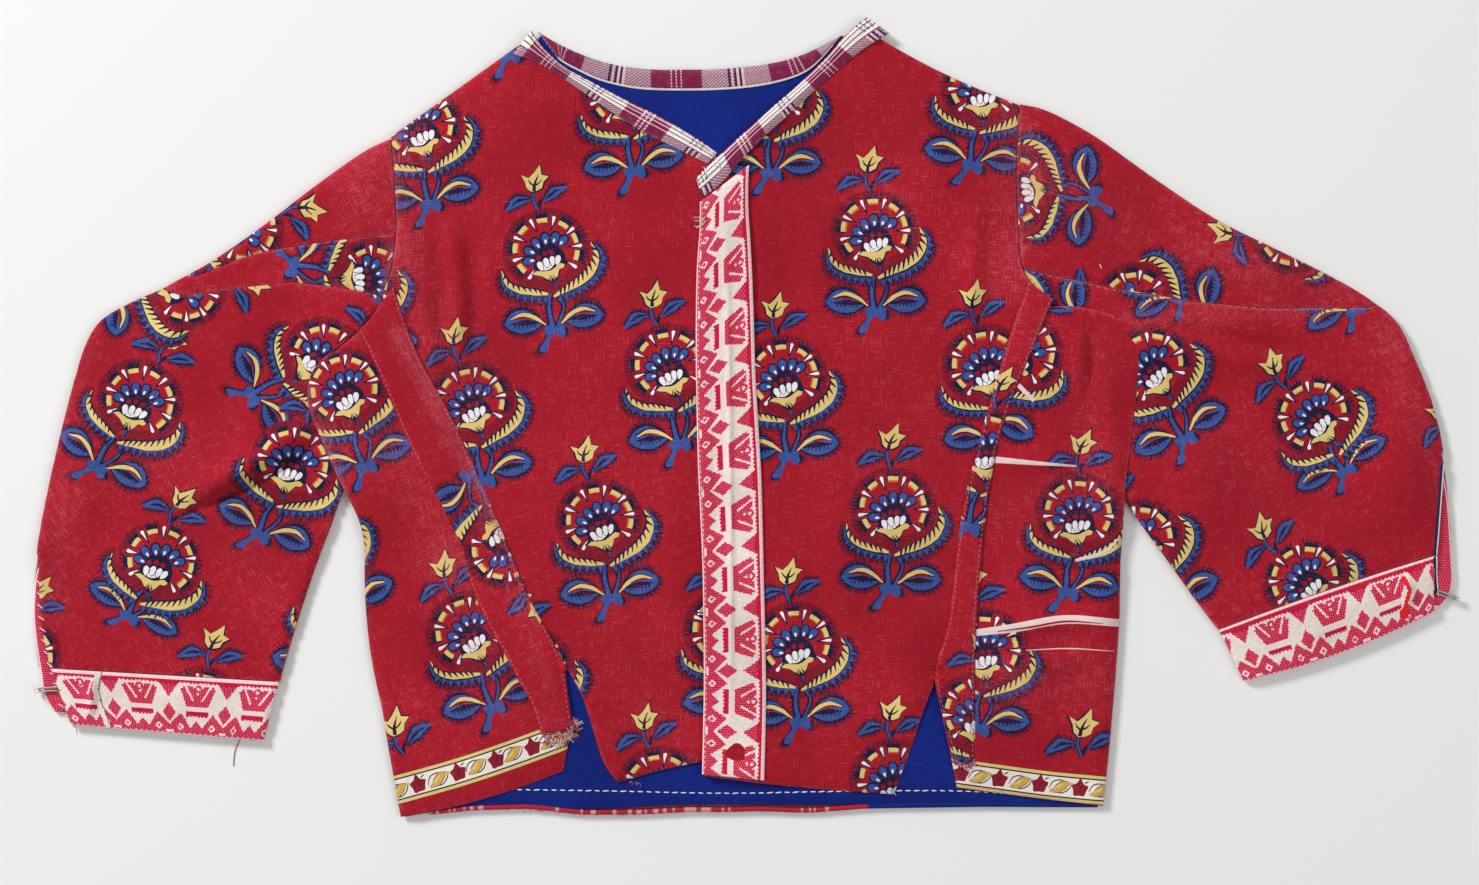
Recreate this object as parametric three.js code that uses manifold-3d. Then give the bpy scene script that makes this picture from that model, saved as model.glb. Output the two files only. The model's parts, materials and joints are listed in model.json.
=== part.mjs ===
// A child's folk costume jacket of printed cotton, laid out flat on its back with the sleeves spread.
// Millimetres. +X points to the wearer's left, +Y to the neck, +Z up from the surface it lies on.
// Every piece of cloth is a wall of its own. The layers lie on each other with a small gap, and the pieces
// meet at their seams with the same gap.
import * as THREE from 'three';
import Module from 'manifold-3d';
import { mergeVertices } from 'three/addons/utils/BufferGeometryUtils.js';

const wasm = await Module();
wasm.setup();

// ---- Driving dimensions ----

const CLOTH = 1.0; // thickness of one layer of cloth
const SEAM_GAP = 0.3; // gap between two pieces at a seam, and between two layers
const LAYER = CLOTH + SEAM_GAP; // rise from one layer to the next
const WIRE = 0.9; // diameter of the hooks' wire
const HOOK_LENGTH = 9; // a small wire hook, from its bend to its sewing loops
const FOLD_ROLL = 3.6; // how far in from a folded edge the front layer starts to round down
const TAPE_ROLL = 1.6; // the same at the neck edge, where the tape turns down
const BACK_SETBACK = 1.5; // from a rounded edge in to the edge of the back
const LINING_SETBACK = 3.2; // from a rounded edge in to the edge of the lining
const GRID = 11; // aimed size of the facets on a large piece
const FRONT_COLUMNS = 10; // facets across a front
const ROLL_TURNS = [1, 0.72, 0.4, 0]; // quarter turns of a rounded edge, from its end to the flat cloth

// Layers counted up from the surface
const BACK_LEVEL = 0;
const LINING_LEVEL = 1;
const FRONT_LEVEL = 2;

// ---- Finishes ----

const finish = (color, roughness, metalness = 0) => ({ color, roughness, metalness });
const printedCotton = finish(0xa91a2a, 0.9);
const blueCotton = finish(0x10308f, 0.92);
const wovenRibbon = finish(0xe0a3a2, 0.75);
const plaidTape = finish(0xa2607f, 0.88);
const steelWire = finish(0xb5b2ac, 0.35, 1);

// ---- Heights ----

const smooth = (t) => THREE.MathUtils.smoothstep(t, 0, 1);

// The largest soft folds of the front layers: a ridge from one point to the other.
const folds = [
  { from: [-188, -2], to: [-248, -44], halfWidth: 15, rise: 2.2 }, // across the right elbow
  { from: [-186, 48], to: [-266, 6], halfWidth: 14, rise: 1.4 },
  { from: [-202, -70], to: [-270, -84], halfWidth: 14, rise: 1.0 },
  { from: [-120, 96], to: [-114, 6], halfWidth: 15, rise: 1.5 }, // below the right shoulder
  { from: [-86, 70], to: [-72, -50], halfWidth: 15, rise: 1.0 },
  { from: [-50, 20], to: [-42, -110], halfWidth: 15, rise: 0.9 },
  { from: [60, 84], to: [54, -80], halfWidth: 15, rise: 1.1 }, // down the left front
  { from: [92, 104], to: [84, -10], halfWidth: 14, rise: 1.2 },
  { from: [130, 10], to: [124, -110], halfWidth: 14, rise: 1.2 }, // down the left side panel
  { from: [134, 112], to: [190, 78], halfWidth: 14, rise: 1.2 }, // inside the left sleeve's upper edge
  { from: [160, 36], to: [242, 26], halfWidth: 13, rise: 1.8 }, // the tuck below the left sleeve's seam
  { from: [202, 0], to: [264, -42], halfWidth: 15, rise: 1.3 },
  { from: [-132, -70], to: [-122, -146], halfWidth: 14, rise: 1.0 }, // down the right side panel
];

function foldHeight(x, y) {
  let height = 0;
  for (const fold of folds) {
    const run = new THREE.Vector2(fold.to[0] - fold.from[0], fold.to[1] - fold.from[1]);
    const offset = new THREE.Vector2(x - fold.from[0], y - fold.from[1]);
    const along = offset.dot(run) / run.lengthSq();
    const aside = Math.abs(offset.cross(run)) / run.length();
    if (along <= 0 || along >= 1 || aside >= fold.halfWidth) continue;
    height += fold.rise * Math.sin(Math.PI * along) * Math.cos((Math.PI / 2) * (aside / fold.halfWidth)) ** 2;
  }
  return height;
}

// The side panels rise by one layer where they lie over the underarm of the sleeves.
const underarms = [
  { centre: [-172, -2], reach: [27, 52] },
  { centre: [155, 2], reach: [34, 54] },
];

function underarmLift(x, y) {
  let lift = 0;
  for (const { centre, reach } of underarms) {
    const distance = Math.hypot((x - centre[0]) / reach[0], (y - centre[1]) / reach[1]);
    lift = Math.max(lift, LAYER * (1 - smooth(distance - 1)));
  }
  return lift;
}

// The left front rises by one layer where it laps over the right front.
const LAP_EDGE = -4; // where the hidden edge of the right front ends
const LAP_REACH = 13; // how far past that edge the left front stays lifted
const LAP_EASE = 16; // over how much width it then sinks back
const lapLift = (x) => LAYER * (1 - smooth((x - LAP_EDGE - LAP_REACH) / LAP_EASE));

/** Height of the top face of a flat layer. */
const topOf = (level) => level * LAYER + CLOTH;
/** Height of the top face of cloth that follows the folds of the body's front. */
const drapedTop = (level) => (x, y) => topOf(level) + foldHeight(x, y) + underarmLift(x, y);
/** The same for what belongs to the left front. */
const lappedTop = (level) => (x, y) => drapedTop(level)(x, y) + lapLift(x);

// ---- Cloth as a wall between an outer and an inner skin ----

/** A smooth edge through points in plan. */
const edgeCurve = (points) =>
  new THREE.CatmullRomCurve3(points.map(([x, y]) => new THREE.Vector3(x, y, 0)), false, 'centripetal');

/** Plan of a piece of cloth: each row runs across it from edge to edge, with its middle bowed up. */
function layOut(rows) {
  const from = edgeCurve(rows.map((row) => row.from));
  const to = edgeCurve(rows.map((row) => row.to));
  const last = rows.length - 1;
  const bowAt = (along) => {
    const index = Math.min(Math.floor(along * last), last - 1);
    const part = along * last - index;
    return (rows[index].bow ?? 0) * (1 - part) + (rows[index + 1].bow ?? 0) * part;
  };
  const at = (across, along) => {
    const point = from.getPoint(along).lerp(to.getPoint(along), across);
    point.y += 4 * bowAt(along) * across * (1 - across);
    return point;
  };
  const widthAt = (along) => at(0, along).distanceTo(at(1, along));
  /** The share along of a point that lies in from the first row. */
  const alongAt = (across, inset) => inset / (at(across, 0).distanceTo(at(across, 1 / last)) * last);
  return { at, widthAt, alongAt };
}

/** Closed mesh between two grids of points. A ring closes on itself across. */
function wall(outer, inner, ring = false) {
  const steps = outer.length;
  const columns = outer[0].length;
  const positions = [...outer.flat(), ...inner.flat()].flatMap((point) => point.toArray());
  const innerStart = steps * columns;
  const indices = [];
  const quad = (a, b, c, d) => indices.push(a, b, c, a, c, d);
  const lastColumn = ring ? columns : columns - 1;
  for (let step = 0; step < steps - 1; step++) {
    for (let column = 0; column < lastColumn; column++) {
      const a = step * columns + column;
      const b = step * columns + ((column + 1) % columns);
      quad(a, a + columns, b + columns, b);
      quad(innerStart + a, innerStart + b, innerStart + b + columns, innerStart + a + columns);
    }
  }
  for (let column = 0; column < lastColumn; column++) {
    const next = (column + 1) % columns;
    const end = (steps - 1) * columns;
    quad(column, next, innerStart + next, innerStart + column);
    quad(end + column, innerStart + end + column, innerStart + end + next, end + next);
  }
  if (!ring) {
    for (let step = 0; step < steps - 1; step++) {
      const a = step * columns;
      const b = a + columns - 1;
      quad(a, innerStart + a, innerStart + a + columns, a + columns);
      quad(b, b + columns, innerStart + b + columns, innerStart + b);
    }
  }
  const geometry = new THREE.BufferGeometry();
  geometry.setAttribute('position', new THREE.Float32BufferAttribute(positions, 3));
  geometry.setIndex(indices);
  return facingOut(geometry);
}

/** Turns a closed mesh's faces outwards. */
function facingOut(geometry) {
  const index = geometry.index.array;
  const [a, b, c] = [new THREE.Vector3(), new THREE.Vector3(), new THREE.Vector3()];
  let volume = 0;
  for (let i = 0; i < index.length; i += 3) {
    a.fromBufferAttribute(geometry.attributes.position, index[i]);
    b.fromBufferAttribute(geometry.attributes.position, index[i + 1]);
    c.fromBufferAttribute(geometry.attributes.position, index[i + 2]);
    volume += a.dot(b.cross(c));
  }
  if (volume < 0) {
    for (let i = 0; i < index.length; i += 3) [index[i + 1], index[i + 2]] = [index[i + 2], index[i + 1]];
  }
  return geometry;
}

/** Evenly spaced values from one to another, both included. */
const spaced = (start, end, count) =>
  Array.from({ length: count + 1 }, (_, i) => start + ((end - start) * i) / count);

/**
 * One layer of cloth over a plan. An edge can be rounded down: 'from' and 'to' are the ends of the rows, and
 * 'first' is the first row. The rounding starts `radius` in from the edge and ends at the height `base`.
 */
function panel({ rows, top, columns, steps, rolled = null }) {
  const plan = layOut(rows);
  const across = spaced(0, 1, columns);
  const along = spaced(0, 1, steps);
  const radius = rolled?.radius ?? 0;

  const skin = (sink) => {
    const insetAt = (turn, amount) => radius - (radius - sink * amount) * Math.sin((Math.PI / 2) * turn);
    const lay = (place, turn = 0, amount = 1) => {
      const flat = top(place.x, place.y) - sink;
      const base = rolled?.base?.(place.x, place.y) ?? 0;
      const turned = base + (flat - base) * Math.cos((Math.PI / 2) * turn);
      return place.setZ(THREE.MathUtils.lerp(flat, turned, amount));
    };

    if (rolled?.edge === 'first') {
      const downFrom = (inset, share, part) => {
        const start = plan.alongAt(share, inset);
        return plan.at(share, start + (1 - start) * part);
      };
      const rounded = ROLL_TURNS.map((turn) =>
        across.map((share) => lay(downFrom(insetAt(turn, 1), share, 0), turn)),
      );
      const flat = along.slice(1).map((part) => across.map((share) => lay(downFrom(radius, share, part))));
      return [...rounded, ...flat];
    }

    const turns = rolled ? ROLL_TURNS.slice(0, -1) : [];
    return along.map((part) => {
      const amount = rolled?.amount?.(plan.at(0, part).y) ?? 1;
      const inwards = (inset, share = 0) => {
        const start = inset / plan.widthAt(part);
        const reach = start + (1 - start) * share;
        return plan.at(rolled?.edge === 'to' ? 1 - reach : reach, part);
      };
      const line = [
        ...turns.map((turn) => lay(inwards(insetAt(turn, amount)), turn, amount)),
        ...across.map((share) => lay(inwards(radius, share))),
      ];
      return rolled?.edge === 'to' ? line.reverse() : line;
    });
  };
  return wall(skin(0), skin(CLOTH));
}

/**
 * A flattened tube: the front layer, a rounded fold, the back layer on the surface and the other fold.
 * An open tube has no fold at the rows' 'from' end.
 */
function flatTube({ rows, relief = () => 0, columns, backColumns, steps, open = false }) {
  const plan = layOut(rows);
  const height = topOf(FRONT_LEVEL);
  const radius = height / 2;
  const skin = (sink) => spaced(0, 1, steps).map((along) => {
      const width = plan.widthAt(along);
      const margin = radius / width;
      const start = open ? 0 : margin;
      const turn = (across, side, quarter) => {
        const angle = (Math.PI / 2) * quarter;
        const place = plan.at(across + (side * (radius - sink) * Math.cos(angle)) / width, along);
        return place.setZ(radius + (radius - sink) * Math.sin(angle));
      };
      const front = spaced(start, 1 - margin, columns).map((across) => {
        const place = plan.at(across, along);
        const fromEdge = Math.min(open ? 1 : across, 1 - across) * width;
        return place.setZ(height - sink + relief(place.x, place.y) * smooth((fromEdge - radius) / GRID));
      });
      const back = spaced(1 - margin, start, backColumns).map((across) => plan.at(across, along).setZ(sink));
      const farFold = [0.5, 0, -0.5].map((quarter) => turn(1 - margin, 1, quarter));
      const nearFold = open ? [] : [-0.5, 0, 0.5].map((quarter) => turn(margin, -1, quarter));
      return [...front, ...farFold, ...back, ...nearFold];
    });
  return wall(skin(0), skin(CLOTH), !open);
}

/** Top height of a piece that lies on others: one layer above their highest facet, or above `elsewhere`. */
function restingOn(geometries, elsewhere) {
  const facets = geometries.flatMap((geometry) => {
    const corner = (i) => new THREE.Vector3().fromBufferAttribute(geometry.attributes.position, i);
    const { array } = geometry.index;
    return spaced(0, array.length - 3, array.length / 3 - 1).map(
      (i) => new THREE.Triangle(corner(array[i]), corner(array[i + 1]), corner(array[i + 2])),
    );
  });
  return (x, y) => {
    let highest = elsewhere(x, y);
    for (const { a, b, c } of facets) {
      const spread = (b.x - a.x) * (c.y - a.y) - (c.x - a.x) * (b.y - a.y);
      if (Math.abs(spread) < 1e-6) continue;
      const u = ((x - a.x) * (c.y - a.y) - (c.x - a.x) * (y - a.y)) / spread;
      const v = ((b.x - a.x) * (y - a.y) - (x - a.x) * (b.y - a.y)) / spread;
      if (u < 0 || v < 0 || u + v > 1) continue;
      highest = Math.max(highest, a.z + u * (b.z - a.z) + v * (c.z - a.z));
    }
    return highest + LAYER;
  };
}

/** A straight-sided solid over an outline, from one height to another. */
function block(outline, low, high) {
  const shape = new THREE.Shape(outline.map(([x, y]) => new THREE.Vector2(x, y)));
  const geometry = new THREE.ExtrudeGeometry(shape, { depth: high - low, bevelEnabled: false });
  return geometry.translate(0, 0, low);
}

// ---- Cutting one piece from another ----

function toSolid(geometry) {
  const bare = new THREE.BufferGeometry();
  bare.setAttribute('position', geometry.attributes.position.clone());
  if (geometry.index) bare.setIndex(geometry.index.clone());
  const merged = mergeVertices(bare, 1e-4);
  const mesh = new wasm.Mesh({
    numProp: 3,
    vertProperties: new Float32Array(merged.attributes.position.array),
    triVerts: new Uint32Array(merged.index.array),
  });
  return new wasm.Manifold(mesh);
}

function toGeometry(solid) {
  const mesh = solid.getMesh();
  const geometry = new THREE.BufferGeometry();
  geometry.setAttribute('position', new THREE.BufferAttribute(Float32Array.from(mesh.vertProperties), 3));
  geometry.setIndex(Array.from(mesh.triVerts));
  return geometry;
}

/** A cutter over an outline, through every layer unless it starts higher. */
const cutter = (outline, low = -5) => toSolid(block(outline, low, 20));

const jacket = new THREE.Group();

function add(name, geometry, { color, roughness, metalness }) {
  const mesh = new THREE.Mesh(geometry, new THREE.MeshStandardMaterial({ color, roughness, metalness }));
  mesh.name = name;
  jacket.add(mesh);
}

/** Points along one end of the rows of a plan. */
const edgeOf = (rows, end, start, stop, count) =>
  spaced(start, stop, count).map((along) => {
    const { x, y } = layOut(rows).at(end === 'from' ? 0 : 1, along);
    return [x, y];
  });

const moved = (points, dx, dy) => points.map(([x, y]) => [x + dx, y + dy]);
const reversed = (points) => [...points].reverse();
/** The middle of a row, moved towards its 'to' end. */
const midway = (row, shift) => {
  const [a, b] = [new THREE.Vector2(...row.from), new THREE.Vector2(...row.to)];
  const middle = a.clone().lerp(b, 0.5);
  return middle.addScaledVector(b.sub(a).normalize(), shift).toArray();
};
/** A line inside the first row of a plan. */
const insideFirstRow = (rows, inset) =>
  spaced(0, 1, FRONT_COLUMNS).map((across) => {
    const plan = layOut(rows);
    const { x, y } = plan.at(across, plan.alongAt(across, inset));
    return [x, y];
  });

// ---- Strips over the side-front seams: rows from the strip's outer edge to its inner edge ----

const stripRightRows = [
  { from: [-161, 35], to: [-147, 54] },
  { from: [-153, 18], to: [-137, 26] },
  { from: [-142, -8], to: [-124, 2] },
  { from: [-130, -34], to: [-112, -24] },
  { from: [-119, -60], to: [-101, -50] },
  { from: [-108, -86], to: [-91, -75] },
  { from: [-99, -102], to: [-80, -95] },
  { from: [-94, -112], to: [-76, -104] },
  { from: [-90, -119], to: [-74, -117] },
  { from: [-85, -133.5], to: [-72, -131] },
];
const stripLeftRows = [
  { from: [129, 49], to: [119, 56] },
  { from: [122.5, 33], to: [112, 36.5] },
  { from: [115.5, 16], to: [106, 16] },
  { from: [107, -8], to: [99, -8] },
  { from: [101, -42], to: [91, -42] },
  { from: [97, -86], to: [85.5, -86] },
  { from: [96.5, -109], to: [80, -109] },
  { from: [96.5, -129], to: [84, -129] },
  { from: [96.5, -145], to: [88, -146] },
];

// ---- Fronts: rows from the armhole, side strip or slit to the neck or centre edge ----

const HIDDEN_GAP = 1.2; // between a front and its side panel, below the strip
const underStripRight = stripRightRows.map((row) => midway(row, HIDDEN_GAP / 2));
const underStripLeft = stripLeftRows.map((row) => midway(row, HIDDEN_GAP / 2));

const frontRightRows = [
  { from: [-148, 117], to: [-90, 158.5] }, // shoulder
  { from: [-146.5, 101], to: [-79.5, 147] },
  { from: [-146, 88], to: [-54.5, 132.5] },
  { from: [-145.5, 77.5], to: [-32, 121] },
  { from: [-147, 67], to: [-12, 108.5] }, // end of the neck edge
  { from: [-148, 60], to: [-6, 97] },
  { from: [-151.5, 47], to: [LAP_EDGE, 76] }, // foot of the armhole
  { from: underStripRight[1], to: [LAP_EDGE, 40] },
  { from: underStripRight[2], to: [LAP_EDGE, 5] },
  { from: underStripRight[3], to: [LAP_EDGE, -25] },
  { from: underStripRight[4], to: [LAP_EDGE, -53] },
  { from: underStripRight[5], to: [LAP_EDGE, -80] },
  { from: [-87, -97], to: [LAP_EDGE, -98] },
  { from: [-75, -105], to: [LAP_EDGE, -108] }, // top of the slit
  { from: [-66, -122], to: [LAP_EDGE, -122] },
  { from: [-60, -143], to: [LAP_EDGE, -136] },
  { from: [-53, -153.5], to: [LAP_EDGE, -143], bow: 1.5 }, // hem
];
const frontLeftRows = [
  { from: [115, 130.5], to: [49.5, 162.5], bow: -2.5 }, // shoulder
  { from: [114, 112], to: [36.5, 149.5] },
  { from: [113.5, 100], to: [18.7, 133] },
  { from: [114, 88], to: [1.6, 117] },
  { from: [114.5, 77], to: [-9.5, 107.7] },
  { from: [115.5, 64.5], to: [-17.3, 98.7] }, // end of the neck edge
  { from: [118.6, 57], to: [-17.6, 80] },
  { from: [122.4, 51.5], to: [-18.6, 58] }, // foot of the armhole
  { from: underStripLeft[1], to: [-19.3, 36] },
  { from: underStripLeft[2], to: [-19.3, 15] },
  { from: underStripLeft[3], to: [-18.9, -10] },
  { from: underStripLeft[4], to: [-17.8, -42] },
  { from: underStripLeft[5], to: [-16.5, -86] },
  { from: [86, -100], to: [-16.2, -100] },
  { from: [79.5, -111], to: [-16.2, -111] }, // top of the slit
  { from: [71.5, -134], to: [-16.4, -132] },
  { from: [62.5, -158.3], to: [-16.8, -150.5], bow: -1 }, // hem
];

const front = (rows, top) =>
  panel({ rows, top, columns: FRONT_COLUMNS, steps: 20, rolled: { edge: 'first', radius: FOLD_ROLL } });
const frontRight = front(frontRightRows, drapedTop(FRONT_LEVEL));
const frontLeft = front(frontLeftRows, lappedTop(FRONT_LEVEL));
add('front_right', frontRight, printedCotton);
add('front_left', frontLeft, printedCotton);

// ---- Side panels: rows from the outer edge to the edge under the strip ----

const besideStripRight = stripRightRows.map((row) => midway(row, -HIDDEN_GAP / 2));
const besideStripLeft = stripLeftRows.map((row) => midway(row, -HIDDEN_GAP / 2));

const sideRightRows = [
  { from: [-162, 35], to: [-155, 42.5] },
  { from: [-175.8, 24.5], to: [-150.3, 32] },
  { from: [-182, 16], to: besideStripRight[1] },
  { from: [-182.6, 5], to: [-140.3, 10] },
  { from: [-179.6, -3.5], to: besideStripRight[2] },
  { from: [-174, -17], to: [-127.6, -16] },
  { from: [-168.6, -29], to: besideStripRight[3] },
  { from: [-162, -42], to: [-116.6, -42] },
  { from: [-159.2, -53], to: besideStripRight[4] },
  { from: [-159, -76], to: besideStripRight[5] },
  { from: [-157.5, -92], to: [-91.5, -97.5] },
  { from: [-155.6, -106], to: [-80.5, -107] },
  { from: [-152.5, -119], to: [-74.5, -118] },
  { from: [-150, -134], to: [-73.6, -131] },
  { from: [-144, -168], to: [-76, -148.7], bow: -2.2 }, // hem
];
const sideLeftRows = [
  { from: [165.7, 36.2], to: [124.2, 45], bow: 4 },
  { from: [165.2, 26], to: besideStripLeft[1] },
  { from: [164.3, 12], to: besideStripLeft[2] },
  { from: [162, -8], to: besideStripLeft[3] },
  { from: [159.5, -28], to: [99.6, -28] },
  { from: [158.7, -42], to: besideStripLeft[4] },
  { from: [157.3, -64], to: [94, -65] },
  { from: [157, -86], to: besideStripLeft[5] },
  { from: [156, -101], to: [87.2, -100] },
  { from: [155.2, -112], to: [80.8, -111] },
  { from: [153.6, -130], to: [84.3, -130] },
  { from: [150.6, -163.4], to: [89.2, -155.8] }, // hem
];

// Below the underarm the side edge is a fold, which rounds down to the surface.
const SIDE_FOLD_TOP = -44; // where that fold begins
const ROLL_EASE = 18; // over how much of the edge it tightens
const sideFold = { edge: 'from', radius: FOLD_ROLL, amount: (y) => smooth((SIDE_FOLD_TOP - y) / ROLL_EASE) };
const sidePanel = (rows) =>
  panel({ rows, top: drapedTop(FRONT_LEVEL), columns: 5, steps: 16, rolled: sideFold });
const sideRight = sidePanel(sideRightRows);
const sideLeft = sidePanel(sideLeftRows);
add('side_right', sideRight, printedCotton);
add('side_left', sideLeft, printedCotton);

// The strips lie on both panels of their seam.
for (const [side, rows, panels] of [
  ['right', stripRightRows, [frontRight, sideRight]],
  ['left', stripLeftRows, [frontLeft, sideLeft]],
]) {
  const top = restingOn(panels, drapedTop(FRONT_LEVEL));
  add(`side_band_${side}`, panel({ rows, top, columns: 2, steps: 20 }), printedCotton);
}

// ---- Armholes: where the sleeves end, in line with the fronts and then hidden below the side panels ----

const FRONT_ROWS_LAST = frontRightRows.length - 1;
const ARMHOLE_FOOT_ROW = { right: 6, left: 7 }; // the row of each front at the foot of its armhole
const armholeRight = [
  ...edgeOf(frontRightRows, 'from', 0, ARMHOLE_FOOT_ROW.right / FRONT_ROWS_LAST, 10),
  [-156, 42],
  [-165, 31],
  [-172, 19],
  [-173.5, 8],
  [-170, -5],
  [-166, -16],
  [-162, -27],
  [-159, -38],
];
const armholeLeft = [
  ...edgeOf(frontLeftRows, 'from', 0, ARMHOLE_FOOT_ROW.left / FRONT_ROWS_LAST, 10),
  [124.2, 47.5],
  [131, 46.6],
  [139, 41.5],
  [149, 36],
  [156.5, 30],
  [157.5, 18],
  [155.5, 0],
  [152.5, -18],
  [151, -34],
];

// ---- Back and lining ----

const neckRows = [
  // 'from' is the edge of the binding inside the neck, 'to' is the neck edge
  { from: [-78, 149.6], to: [-86.5, 161] },
  { from: [-66, 142.8], to: [-79, 156.6] },
  { from: [-58, 139.8], to: [-63, 149.5] },
  { from: [-44, 137], to: [-45, 145.8] },
  { from: [-17, 136.5], to: [-17.5, 145.3] },
  { from: [4.5, 138], to: [3, 146.6] },
  { from: [20, 141.6], to: [16.5, 149] },
  { from: [28.8, 146.2], to: [26.5, 152.3] },
  { from: [35.8, 153.8], to: [33.6, 155.8] },
  { from: [41, 159.6], to: [38.8, 158.4] },
];

const spacedNeck = (inset) =>
  spaced(0, 1, 14).map((along) => {
    const plan = layOut(neckRows);
    const { x, y } = plan.at(1 - inset / plan.widthAt(along), along);
    return [x, y];
  });
const sideOf = (rows, startRow, dx) => moved(edgeOf(rows, 'from', startRow / (rows.length - 1), 1, 8), dx, 0);

const SIDE_FOLD_ROW = { right: 8, left: 5 }; // the row of each side panel where its fold begins
const backHem = [
  [-124, -165.2],
  [-98, -164.4],
  [-65, -166],
  [-27, -164.2],
  [32, -164.2],
  [100, -163.2],
];
const backOutline = [
  ...moved(armholeRight.slice(1), SEAM_GAP / 2, 0),
  ...sideOf(sideRightRows, SIDE_FOLD_ROW.right, BACK_SETBACK),
  ...backHem,
  ...reversed(sideOf(sideLeftRows, SIDE_FOLD_ROW.left, -BACK_SETBACK)),
  ...reversed(moved(armholeLeft.slice(1), -SEAM_GAP / 2, 0)),
  ...insideFirstRow(frontLeftRows, BACK_SETBACK),
  [44.2, 161.2],
  ...reversed(moved(edgeOf(neckRows, 'from', 0, 1, 14), 0.1, -SEAM_GAP)).slice(1),
  ...reversed(insideFirstRow(frontRightRows, BACK_SETBACK)),
];
add('back', block(backOutline, BACK_LEVEL * LAYER, topOf(BACK_LEVEL)), printedCotton);

const LINING_HEM = 1.2; // how far the lining stops short of the back's hem
const liningOutline = [
  [-142, 60],
  [-147, 46],
  [-150, 20],
  [-153, -20],
  ...sideOf(sideRightRows, SIDE_FOLD_ROW.right, LINING_SETBACK).slice(0, -1),
  ...moved([[-140.5, -165.6], ...backHem, [146, -163.2]], 0, LINING_HEM),
  ...reversed(sideOf(sideLeftRows, SIDE_FOLD_ROW.left, -LINING_SETBACK).slice(0, -1)),
  [148, -20],
  [146, 20],
  [122, 38],
  [112, 60],
  ...insideFirstRow(frontLeftRows, LINING_SETBACK).slice(0, -1),
  ...reversed(spacedNeck(TAPE_ROLL + SEAM_GAP)),
  ...reversed(insideFirstRow(frontRightRows, LINING_SETBACK)).slice(0, -1),
];
add('back_lining', block(liningOutline, LINING_LEVEL * LAYER, topOf(LINING_LEVEL)), blueCotton);

// ---- Neck binding ----

add(
  'neck_binding_back',
  flatTube({ rows: neckRows, columns: 2, backColumns: 1, steps: 12, open: true }),
  plaidTape,
);

// Rows from the edge on the front to the neck edge
const bindingRightRows = [
  { from: [-97, 151.5], to: [-89.3, 161.4] },
  { from: [-84, 146.5], to: [-79.2, 149.1] },
  { from: [-67.8, 135.7], to: [-62, 138.9] },
  { from: [-54.5, 126.5], to: [-47.5, 131.3] },
  { from: [-41.4, 118.4], to: [-36, 125.7] },
  { from: [-28, 111.8], to: [-23.4, 118.4] },
  { from: [-15.4, 105.6], to: [-11.2, 110.4] },
];
const bindingLeftRows = [
  { from: [60.5, 160.2], to: [51.2, 167.2] },
  { from: [50, 153.8], to: [43.6, 160.8] },
  { from: [36.3, 142.4], to: [30, 145.8] },
  { from: [17.4, 125.2], to: [12, 129.6] },
  { from: [0.2, 109.2], to: [-5.2, 114] },
  { from: [-10.7, 96.4], to: [-16.6, 103.6] },
  { from: [-17.6, 91.6], to: [-20.4, 99.4] },
];
const tapeTurn = (top) => ({ edge: 'to', radius: TAPE_ROLL, base: (x, y) => top(x, y) - LAYER - CLOTH });
for (const [side, rows, top] of [
  ['right', bindingRightRows, restingOn([frontRight], drapedTop(FRONT_LEVEL))],
  ['left', bindingLeftRows, restingOn([frontLeft], lappedTop(FRONT_LEVEL))],
]) {
  add(`neck_binding_${side}`, panel({ rows, top, columns: 2, steps: 10, rolled: tapeTurn(top) }), plaidTape);
}

// ---- Placket ribbon: rows from its inner edge to its outer edge ----

const placketRows = [
  { from: [-18.7, 89.5], to: [1.9, 105] },
  { from: [-18.8, 78], to: [1.5, 91] },
  { from: [-19.9, 63], to: [3, 64] },
  { from: [-20.4, 36], to: [4, 36] },
  { from: [-20.3, 16], to: [4.6, 16] },
  { from: [-19.4, -23], to: [6.9, -23] },
  { from: [-17.8, -57], to: [7.8, -57] },
  { from: [-17.1, -95], to: [8.7, -95] },
  { from: [-17.1, -119], to: [9, -119] },
  { from: [-17.8, -150], to: [8.2, -152.6] },
];
add(
  'placket_ribbon',
  panel({ rows: placketRows, top: restingOn([frontLeft], lappedTop(FRONT_LEVEL)), columns: 2, steps: 16 }),
  wovenRibbon,
);

// ---- Sleeves: rows across the arm, from the upper fold to the lower fold ----

const sleeveRightRows = [
  { from: [-138, 123.5], to: [-150, -6] }, // inside the armhole, cut away
  { from: [-149, 115.5], to: [-160, -16] },
  { from: [-161, 110], to: [-166, -25] },
  { from: [-188, 90], to: [-169.5, -34] },
  { from: [-215, 70], to: [-173, -44] },
  { from: [-240, 55], to: [-176.2, -52.5] },
  { from: [-258, 47], to: [-179, -60] },
  { from: [-270, 39.5], to: [-181.5, -67] },
  { from: [-276, 30], to: [-183.5, -73] },
  { from: [-281.6, 12], to: [-185.5, -79] },
  { from: [-287, -9.5], to: [-188, -87] },
  { from: [-293, -36], to: [-190.5, -95] },
  { from: [-297.3, -62], to: [-192.5, -102] },
  { from: [-298.4, -86], to: [-194, -107] },
  { from: [-296.3, -105.2], to: [-195, -111.2] }, // seam of the cuff
];
const cuffRightRows = [
  { from: [-296.2, -105.6], to: [-195.1, -111.6] },
  { from: [-294.8, -116], to: [-197.6, -122] },
  { from: [-290.5, -124.3], to: [-199.6, -130.5] },
  { from: [-283, -129.6], to: [-201.3, -136.5] },
];
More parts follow.
